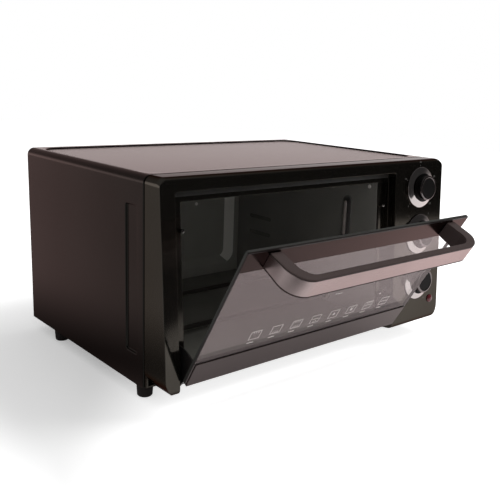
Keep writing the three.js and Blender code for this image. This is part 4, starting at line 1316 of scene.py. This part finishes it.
@dataclass
class Door:
    """The glass door with its printed bands, handle, foot rail and hinge arms.

    It is laid out upright from the hinge's axis, x across and z up, and leans out by its ajar angle.

    Attributes:
        ajar: How far the door leans out, in degrees.
        outer_face: Distance of the glass's outer face in front of the hinge's axis.
        left: The glass's left edge.
        right: Its right edge.
        foot: Its lower edge.
        head: Its upper edge.
        foot_band: Top of the dark band printed along the foot.
        head_band: Bottom of the dark band printed along the head.
        print_lift: Height of the print above the glass.
        print_inset: Distance of the bands' ends from the glass's edges.
        sign_first: Place of the first cooking sign across the door.
        sign_pitch: Distance between the signs.
        sign_level: Their height.
        lean: The place of the door's upright layout, found when it is built.
    """

    bench: Bench
    ajar: float = 30.5
    outer_face: float = 12.6 * MM
    left: float = -211.1 * MM
    right: float = 129.0 * MM
    foot: float = 12.4 * MM
    head: float = 196.0 * MM
    foot_band: float = 43.0 * MM
    head_band: float = 171.0 * MM
    print_lift: float = 0.06 * MM
    print_inset: float = 0.7 * MM
    sign_first: float = -141.5 * MM
    sign_pitch: float = 29.7 * MM
    sign_level: float = 67.5 * MM
    lean: Matrix = field(init=False)

    def build(self) -> None:
        """Make the door's pieces."""
        hinge = Vector(self.bench.joint("door_hinge")["pos_m"])
        tilt = Matrix.Rotation(math.radians(self.ajar), 4, "X")
        self.lean = Matrix.Translation((0, hinge.y, hinge.z)) @ tilt
        self.pane()
        self.bands()
        self.pictograms()
        self.metalwork()

    def printed(self, shape: Shape) -> Shape:
        """Thicken a flat shape drawn in (x, z) and lay it on the glass's outer face."""
        shape.sweep(self.print_lift - PRINT_GAP)
        return shape.place(self.lean @ Matrix.Translation((0, -self.outer_face - PRINT_GAP, 0)) @ UPRIGHT)

    def pane(self) -> None:
        """The toughened pane, with ground edges."""
        pane = self.bench.refine("door_glass", "door_pane", Body.DOOR, "door_glass", 1.0 * MM, 2)
        for finish in ("glass_edge", "print_black"):
            pane.data.materials.append(self.bench.palette.materials[finish])
        outward = self.lean.to_3x3() @ Vector((0, -1, 0))
        for face in pane.data.polygons:
            facing = face.normal.dot(outward)
            if abs(facing) < 0.98:
                face.material_index = 2 if facing > 0.2 else 1

    def bands(self) -> None:
        """The dark bands along the foot and the head, and the fine lines that edge them; the head band's
        paint is darker still as painted shade.
        """
        left, right = self.left + self.print_inset, self.right - self.print_inset
        bands = (("foot_band", "band_paint", "rail_paint", self.foot + self.print_inset, self.foot_band,
                  1.5 * MM),
                 # the head band's paint is darker than the foot band's: painted shade
                 ("head_band", "shaded_band_paint", "rail_paint", self.head_band, self.head - 2.0 * MM, 0.5 * MM),
                 ("head_band_line", "print_black", "hinge_black", self.head - 1.95 * MM,
                  self.head - 1.0 * MM, 0.3 * MM),
                 ("foot_band_line", "print_black", "hinge_black", self.foot_band + 0.05 * MM,
                  self.foot_band + 1.5 * MM, 0.0))
        for name, finish, slot, low, high, radius in bands:
            flat = Shape.rectangle((left, low), (right, high), radius)
            self.bench.fit(self.printed(flat).finished(name), Body.DOOR, finish, slot=slot)

    def pictograms(self) -> None:
        """A row of plain cooking signs, with a dot and three dashes above them."""
        signs = Shape()
        for index, sign in enumerate(SIGNS):
            signs.join(sign.shape().shift(x=self.sign_first + index * self.sign_pitch, y=self.sign_level))
        signs.join(Shape.disc(1.3 * MM, 20).shift(x=47 * MM, y=85 * MM))
        for step in range(3):
            dash = Shape.rectangle((0, 0), (2.6 * MM, 1.6 * MM))
            signs.join(dash.shift(x=(-43 + 4 * step) * MM, y=104 * MM))
        piece = self.printed(signs).finished("door_signs")
        self.bench.fit(piece, Body.DOOR, "print_white", slot="control_plastic")

    def metalwork(self) -> None:
        """The handle, the foot rail and the hinge arms."""
        metal = [("handle_bar", "handle_grip", "handle_plastic", 0.8 * MM, 3),
                 ("handle_face", "handle_band", "handle_steel", 0.2 * MM, 2),
                 ("door_rail", "foot_rail", "rail_paint", 0.5 * MM, 3)]
        metal += [(f"hinge_arm_{side}", f"hinge_quadrant_{side}", "hinge_black", 0.25 * MM, 2)
                  for side in ("left", "right")]
        for node, name, finish, width, segments in metal:
            self.bench.refine(node, name, Body.DOOR, finish, width, segments)


@dataclass(frozen=True)
class Sign:
    """A plain cooking sign: an oven's outline with heat above, heat below or a tray in it.

    Attributes:
        above: Number of heat strokes at the top.
        below: Number of heat strokes at the bottom.
        tray: Whether a tray lies across the middle.
        ring: Whether a round dish stands in the middle.
        width: Width of the oven's outline.
        height: Height of the outline.
        line: Width of the strokes.
    """

    above: int = 0
    below: int = 0
    tray: bool = False
    ring: bool = False
    width: float = 14 * MM
    height: float = 12 * MM
    line: float = 0.8 * MM

    def shape(self) -> Shape:
        """The sign's flat parts, with the outline centred on the origin.

        Returns:
            The flat shape.
        """
        half, rise, line = self.width / 2, self.height / 2, self.line
        flat = Shape()
        for side in (-1, 1):
            flat.join(self.bar(side * half, -rise, side * half, rise),
                      self.bar(-half, side * rise, half, side * rise))
        for count, level in ((self.above, rise - 3.2 * MM), (self.below, -rise + 1.2 * MM)):
            for index in range(count):
                place = (index - (count - 1) / 2) * 3.2 * MM
                flat.join(self.bar(place, level, place, level + 2 * MM))
        if self.tray:
            flat.join(self.bar(-half + 2 * MM, 0, half - 2 * MM, 0))
        if self.ring:
            flat.join(Shape.disc(2 * MM, 20))
        flat.join(Shape.rectangle((-half, -rise - 6 * MM), (0.3 * half, -rise - 6 * MM + 1.6 * line)))
        return flat

    def bar(self, left: float, low: float, right: float, high: float) -> Shape:
        """A straight stroke with the sign's line width around its middle line."""
        edge = self.line / 2
        return Shape.rectangle((left - edge, low - edge), (right + edge, high + edge))


SIGNS = (Sign(above=3), Sign(below=3), Sign(above=3, below=3), Sign(tray=True, below=2), Sign(ring=True),
         Sign(ring=True, above=2), Sign(tray=True, above=3), Sign(tray=True))


@dataclass
class Cavity:
    """The enamelled cooking chamber and what is in it.

    Attributes:
        edge: How far the pressed sheets' edges are rounded.
        rim_right: How far the back's pressed dish spreads to the right at its rim.
        rim_side: How far it spreads to the left and upwards.
        rim_foot: How far it spreads downwards.
        flat_right: How far the dish's flat draws back from the right.
        flat_foot: How far it draws back from below.
        border: Width of the back's outermost strip, which stays as it is.
        dish_half: Depth past which a point belongs to the dish's flat.
        louver_foot: Height of the lower louver.
        louver_pitch: Distance between the two louvers.
        louver_middle: Place of the louvers' middle along the wall.
        louver_size: Length and width of the hood behind a louver.
        louver_depth: Depth of the hood.
    """

    bench: Bench
    edge: float = 0.4 * MM
    rim_right: float = 7.5 * MM
    rim_side: float = 8 * MM
    rim_foot: float = 2.2 * MM
    flat_right: float = 2.7 * MM
    flat_foot: float = 3.2 * MM
    border: float = 6 * MM
    dish_half: float = 2.5 * MM
    louver_foot: float = 108 * MM
    louver_pitch: float = 25 * MM
    louver_middle: float = 158.7 * MM
    louver_size: tuple = (56 * MM, 10 * MM)
    louver_depth: float = 1.2 * MM

    def build(self) -> None:
        """Round the pressed sheets' edges and add what is fixed to them."""
        # the walls get a lighter copy of the chamber's enamel: painted light
        for node, name, finish in (("cavity_liner", "chamber_walls", "lit_wall_enamel"),
                                   ("cavity_floor", "crumb_floor", "cavity_enamel")):
            self.bench.refine(node, name, Body.CASING, finish, self.edge, 3)
        self.back()
        self.louver_hoods()
        self.wall_screws()

    def back(self) -> None:
        """The back wall, with its pressed dish spread to soft slopes; its right-hand slope gets a painted
        highlight.
        """
        shape = Shape().copy_faces(self.bench.frame["nodes"]["cavity_back"].data)
        low, high = (Vector(corner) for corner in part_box("cavity_back"))
        middle = (low + high) / 2
        rim = self.border
        for vert in shape.bm.verts:
            if not (low.x + rim < vert.co.x < high.x - rim and low.z + rim < vert.co.z < high.z - rim):
                continue
            right, upper = vert.co.x > middle.x, vert.co.z > middle.z
            if vert.co.y > low.y + self.dish_half:
                vert.co.x -= self.flat_right if right else 0.0
                vert.co.z += 0.0 if upper else self.flat_foot
            else:
                vert.co.x += self.rim_right if right else -self.rim_side
                vert.co.z += self.rim_side if upper else -self.rim_foot
        piece = shape.round_edges(self.edge, 3).finished("chamber_back")
        weigh_normals(piece)
        # the back gets the lightest copy of the chamber's enamel: painted light
        self.bench.fit(piece, Body.CASING, "lit_back_enamel", "cavity_back")
        # the right-hand slope gets a pale second enamel: painted highlight
        piece.data.materials.append(self.bench.palette.materials["painted_highlight_enamel"])
        for face in piece.data.polygons:  # the right-hand slope faces forwards and a little to the left
            if face.normal.y < -0.8 and face.normal.x < -0.1:
                face.material_index = 1

    def louver_hoods(self) -> None:
        """The shallow pressed hoods behind the louvers in the right wall."""
        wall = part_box("cavity_liner")[1][0] + 0.3 * MM
        length, width = self.louver_size
        hoods = Shape()
        for row in range(2):
            level = self.louver_foot + row * self.louver_pitch
            hoods.join(Shape.block((wall, self.louver_middle - length / 2, level - width / 2),
                                   (wall + self.louver_depth, self.louver_middle + length / 2,
                                    level + width / 2)))
        piece = hoods.round_edges(0.3 * MM, 2).finished("louver_hoods")
        self.bench.fit(piece, Body.CASING, "cavity_enamel", slot="cavity_enamel")

    def wall_screws(self) -> None:
        """The small screws in the back and right walls."""
        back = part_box("cavity_back")
        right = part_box("cavity_liner")[1][0] - MM
        head = Screw(radius=2.6 * MM, crown=1.6 * MM, height=1.2 * MM, arm=1.2 * MM, slot=0.6 * MM,
                     depth=0.5 * MM)
        places = ((Vector((0, -1, 0)), Vector((29.4 * MM, back[0][1] + 4 * MM, 152 * MM))),
                  (Vector((-1, 0, 0)), Vector((right, -55.5 * MM, 211 * MM))))
        for number, (outward, point) in enumerate(places, 1):
            shape = head.shape().place(arrow(outward, point))
            self.bench.fit(shape.finished(f"chamber_screw_{number}", 25), Body.CASING, "rivet_grey",
                           slot="bare_steel")


# ---------------------------------------------------------------- studio


@dataclass(frozen=True)
class Studio:
    """The floor, the light and the camera.

    Attributes:
        position: The camera's place.
        azimuth: Degrees that the camera stands to the oven's right of its front.
        elevation: Degrees that the camera looks down by.
        roll: Degrees that the camera leans.
        lens: Focal length in millimetres on a 36 mm sensor.
        floor_radius: Radius of the round pale table top.
        floor_shift: How far its middle lies behind the oven's.
        floor_lift: Light added to the floor so that its open parts show as white.
        painted_shade_lift: Light added to it in the soft shade beside the casing's left.
        mirror_left: How bright reflections show the floor to the oven's left.
        mirror_front: How bright they show it in front.
        mirror_right: Light added there to the floor to the right.
        mirror_back: Light added there to the floor behind.
        world_level: Brightness of the surroundings.
        mirror_low: Brightness, in reflections, of the horizon behind the oven.
        mirror_high: Brightness, in reflections, of the sky behind it.
        mirror_ahead: Brightness, in reflections, of what lies in front of the oven.
        horizon: How steeply a ray climbs where the horizon ends and where the sky starts.
        flank: How far a ray points to the rear where the front ends and where the rear starts.
    """

    position: tuple = (-0.58883, -0.63454, 0.33840)
    azimuth: float = -40.7
    elevation: float = 13.74
    roll: float = 2.22
    lens: float = 49.67
    floor_radius: float = 3.0
    floor_shift: float = 1.5
    floor_lift: float = 0.80
    # painted_shade_lift: Light added to it beside the casing's left, less than elsewhere: painted shade that
    # deepens the lamp's shadow there.
    painted_shade_lift: float = 0.34
    mirror_left: float = 0.48
    mirror_front: float = 0.05
    mirror_right: float = 0.20
    mirror_back: float = 2.60
    world_level: float = 0.55
    mirror_low: float = 1.2
    mirror_high: float = 0.22
    mirror_ahead: float = 0.03
    horizon: tuple = (0.04, 0.27)
    flank: tuple = (-0.5, 0.25)

    def camera(self) -> None:
        """Set up the camera at the product's three-quarter view."""
        data = bpy.data.cameras.new("camera")
        data.lens = self.lens
        data.sensor_width = 36.0
        camera = stand("camera", data)
        turn = Matrix.Rotation(math.radians(self.azimuth), 4, "Z")
        tilt = Matrix.Rotation(math.radians(90 - self.elevation), 4, "X")
        lean = Matrix.Rotation(math.radians(self.roll), 4, "Z")
        camera.matrix_world = Matrix.Translation(self.position) @ turn @ tilt @ lean
        bpy.context.scene.camera = camera

    def floor(self) -> None:
        """A round pale table top whose unshaded parts show as white."""
        bm = bmesh.new()
        bmesh.ops.create_circle(bm, cap_ends=True, segments=96, radius=self.floor_radius)
        bmesh.ops.translate(bm, verts=bm.verts[:], vec=(0, self.floor_shift, 0))
        mesh = bpy.data.meshes.new("table_top")
        bm.to_mesh(mesh)
        bm.free()
        table = stand("table_top", mesh)
        table.data.materials.append(self.floor_material())

    def floor_material(self) -> bpy.types.Material:
        """A matt white floor, lifted to white for the camera, lifted less beside the casing's left as painted
        shade, and dimmed to the left in reflections.

        Returns:
            The floor's material.
        """
        nodes = Nodes("table_white")
        nodes.set(Base_Color=(0.8, 0.8, 0.8, 1.0), Roughness=0.9, Specular_IOR_Level=0.1)
        path = nodes.add("ShaderNodeLightPath")
        apart = nodes.feed("ShaderNodeSeparateXYZ", (nodes.add("ShaderNodeTexCoord"), "Object"))
        # less lift beside the casing's left: painted shade over the lamp's shadow there
        levels = (self.painted_shade_lift, self.floor_lift)
        near = self.fade(nodes, apart, (1.0, -0.8), (-0.28, -0.12), levels)
        far = self.fade(nodes, apart, (-1.0, 0.0), (0.34, 0.46), levels)
        behind = self.fade(nodes, apart, (0.0, 1.0), (0.30, 0.50), levels)
        beside = nodes.feed("ShaderNodeMath", (near, 0), (far, 0), operation="MAXIMUM")
        brighter = nodes.feed("ShaderNodeMath", (beside, 0), (behind, 0), operation="MAXIMUM")
        lifted = nodes.feed("ShaderNodeAddShader", (nodes.shader, 0), (self.glow(nodes, brighter), 0))
        either = nodes.feed("ShaderNodeMath", (path, "Is Camera Ray"), (path, "Is Transmission Ray"),
                            operation="MAXIMUM")
        seen = nodes.feed("ShaderNodeMixShader", (either, 0), (nodes.shader, 0), (lifted, 0))
        reflected = self.mirror_floor(nodes, apart)
        mirrored = nodes.feed("ShaderNodeMixShader", (path, "Is Glossy Ray"), (seen, 0), (reflected, 0))
        nodes.link(mirrored, "Shader", nodes.output, "Surface")
        return nodes.material

    def glow(self, nodes: Nodes, level: bpy.types.Node) -> bpy.types.Node:
        """A white emission.

        Args:
            nodes: The floor's material.
            level: The node that gives its strength.

        Returns:
            The emission node.
        """
        glow = nodes.add("ShaderNodeEmission")
        nodes.link(level, 0, glow, "Strength")
        return glow

    def fade(self, nodes: Nodes, apart: bpy.types.Node, slant: tuple, ends: tuple,
             levels: tuple) -> bpy.types.Node:
        """A smooth change across the floor.

        Args:
            nodes: The floor's material.
            apart: The node that gives the place on the floor.
            slant: The shares of x and y that make up the distance along which it changes.
            ends: Where along that distance it starts and ends.
            levels: What it changes from and to.

        Returns:
            The node whose result changes.
        """
        part = nodes.add("ShaderNodeMath", operation="MULTIPLY")
        part.inputs[1].default_value = slant[0]
        nodes.link(apart, "X", part, 0)
        along = nodes.add("ShaderNodeMath", operation="MULTIPLY_ADD")
        along.inputs[1].default_value = slant[1]
        nodes.link(apart, "Y", along, 0)
        nodes.link(part, 0, along, 2)
        return nodes.map((along, 0), ends, levels)

    def mirror_floor(self, nodes: Nodes, apart: bpy.types.Node) -> bpy.types.Node:
        """The floor as reflections show it: bright close by and to the right, dim to the left, dark in front.

        Args:
            nodes: The floor's material.
            apart: The node that gives the place on the floor.

        Returns:
            The shader.
        """
        across = self.fade(nodes, apart, (1.0, -0.6), (-0.34, -0.10), (0.0, 1.0))
        ahead = self.fade(nodes, apart, (0.6, 1.0), (-0.46, -0.38), (0.0, 1.0))
        aside = self.fade(nodes, apart, (1.0, -0.2), (-0.46, -0.26), (self.mirror_left, self.mirror_front))
        back = self.fade(nodes, apart, (0.0, 1.0), (0.25, 0.50), (self.mirror_right, self.mirror_back))
        span = nodes.feed("ShaderNodeMath", (across, 0), (ahead, 0), operation="MULTIPLY")
        lit = nodes.feed("ShaderNodeAddShader", (nodes.shader, 0), (self.glow(nodes, back), 0))
        return nodes.feed("ShaderNodeMixShader", (span, 0), (self.glow(nodes, aside), 0), (lit, 0))

    def world(self) -> None:
        """Soft all round; in reflections white behind the oven and dim in front; white to the camera."""
        world = bpy.data.worlds.new("studio")
        world.use_nodes = True
        bpy.context.scene.world = world
        nodes = Tree(world.node_tree)
        apart = nodes.feed("ShaderNodeSeparateXYZ", (nodes.add("ShaderNodeTexCoord"), "Generated"))
        climb = nodes.map((apart, "Z"), self.horizon, (self.mirror_low, self.mirror_high))
        span = nodes.map((apart, "Y"), self.flank, (self.mirror_ahead, 1.0))
        nodes.link(climb, "Result", span, "To Max")
        path = nodes.add("ShaderNodeLightPath")
        soft, mirrored, white = (nodes.add("ShaderNodeBackground") for _ in range(3))
        for sky, strength in ((soft, self.world_level), (mirrored, 1.0), (white, 1.0)):
            sky.inputs["Color"].default_value = PLAIN
            sky.inputs["Strength"].default_value = strength
        nodes.link(span, "Result", mirrored, "Strength")
        glossy = nodes.feed("ShaderNodeMixShader", (path, "Is Glossy Ray"), (soft, 0), (mirrored, 0))
        seen = nodes.feed("ShaderNodeMixShader", (path, "Is Camera Ray"), (glossy, 0), (white, 0))
        nodes.feed("ShaderNodeOutputWorld", (seen, 0))

    def lamp(self, name: str, place: tuple, aim: tuple, side: float, power: float) -> None:
        """A square softbox.

        Args:
            name: The lamp's name.
            place: Where it hangs.
            aim: The point it faces.
            side: Length of its side.
            power: Its power in watts.
        """
        data = bpy.data.lights.new(name, "AREA")
        data.shape = "SQUARE"
        data.size = side
        data.energy = power
        lamp = stand(name, data)
        lamp.visible_glossy = False
        facing = (Vector(aim) - Vector(place)).to_track_quat("-Z", "Y")
        lamp.matrix_world = Matrix.Translation(place) @ facing.to_matrix().to_4x4()

    def build(self) -> None:
        """Put up the camera, the floor and the lights."""
        self.camera()
        self.floor()
        self.world()
        self.lamp("right_softbox", place=(1.1, -0.3, 1.7), aim=(0, 0, 0), side=1.2, power=22.0)
        bpy.context.scene.view_settings.view_transform = "Standard"


def main() -> None:
    """Build the studio and dress the oven."""
    logging.basicConfig(level=logging.INFO, format="%(name)s: %(message)s")
    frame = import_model()
    Studio().build()
    bench = Bench(frame, Palette())
    for name, node in frame["nodes"].items():
        bench.palette.dress(node, SLOT_FINISHES[bench.slot_of(name)])
    Casing(bench).build()
    Fittings(bench).build()
    Front(bench).build()
    Knob(bench, Body.THERMOSTAT, "thermostat_turn", ("0", "100", "150", "200", "250"), -135, 135).build()
    Knob(bench, Body.FUNCTION, "function_switch_turn", ("0", "1", "2", "3"), -120, 120).build()
    Knob(bench, Body.TIMER, "timer_turn", ("0", "15", "30", "45", "60"), -150, 150).build()
    Door(bench).build()
    Cavity(bench).build()


if __name__ == "__main__":
    main()
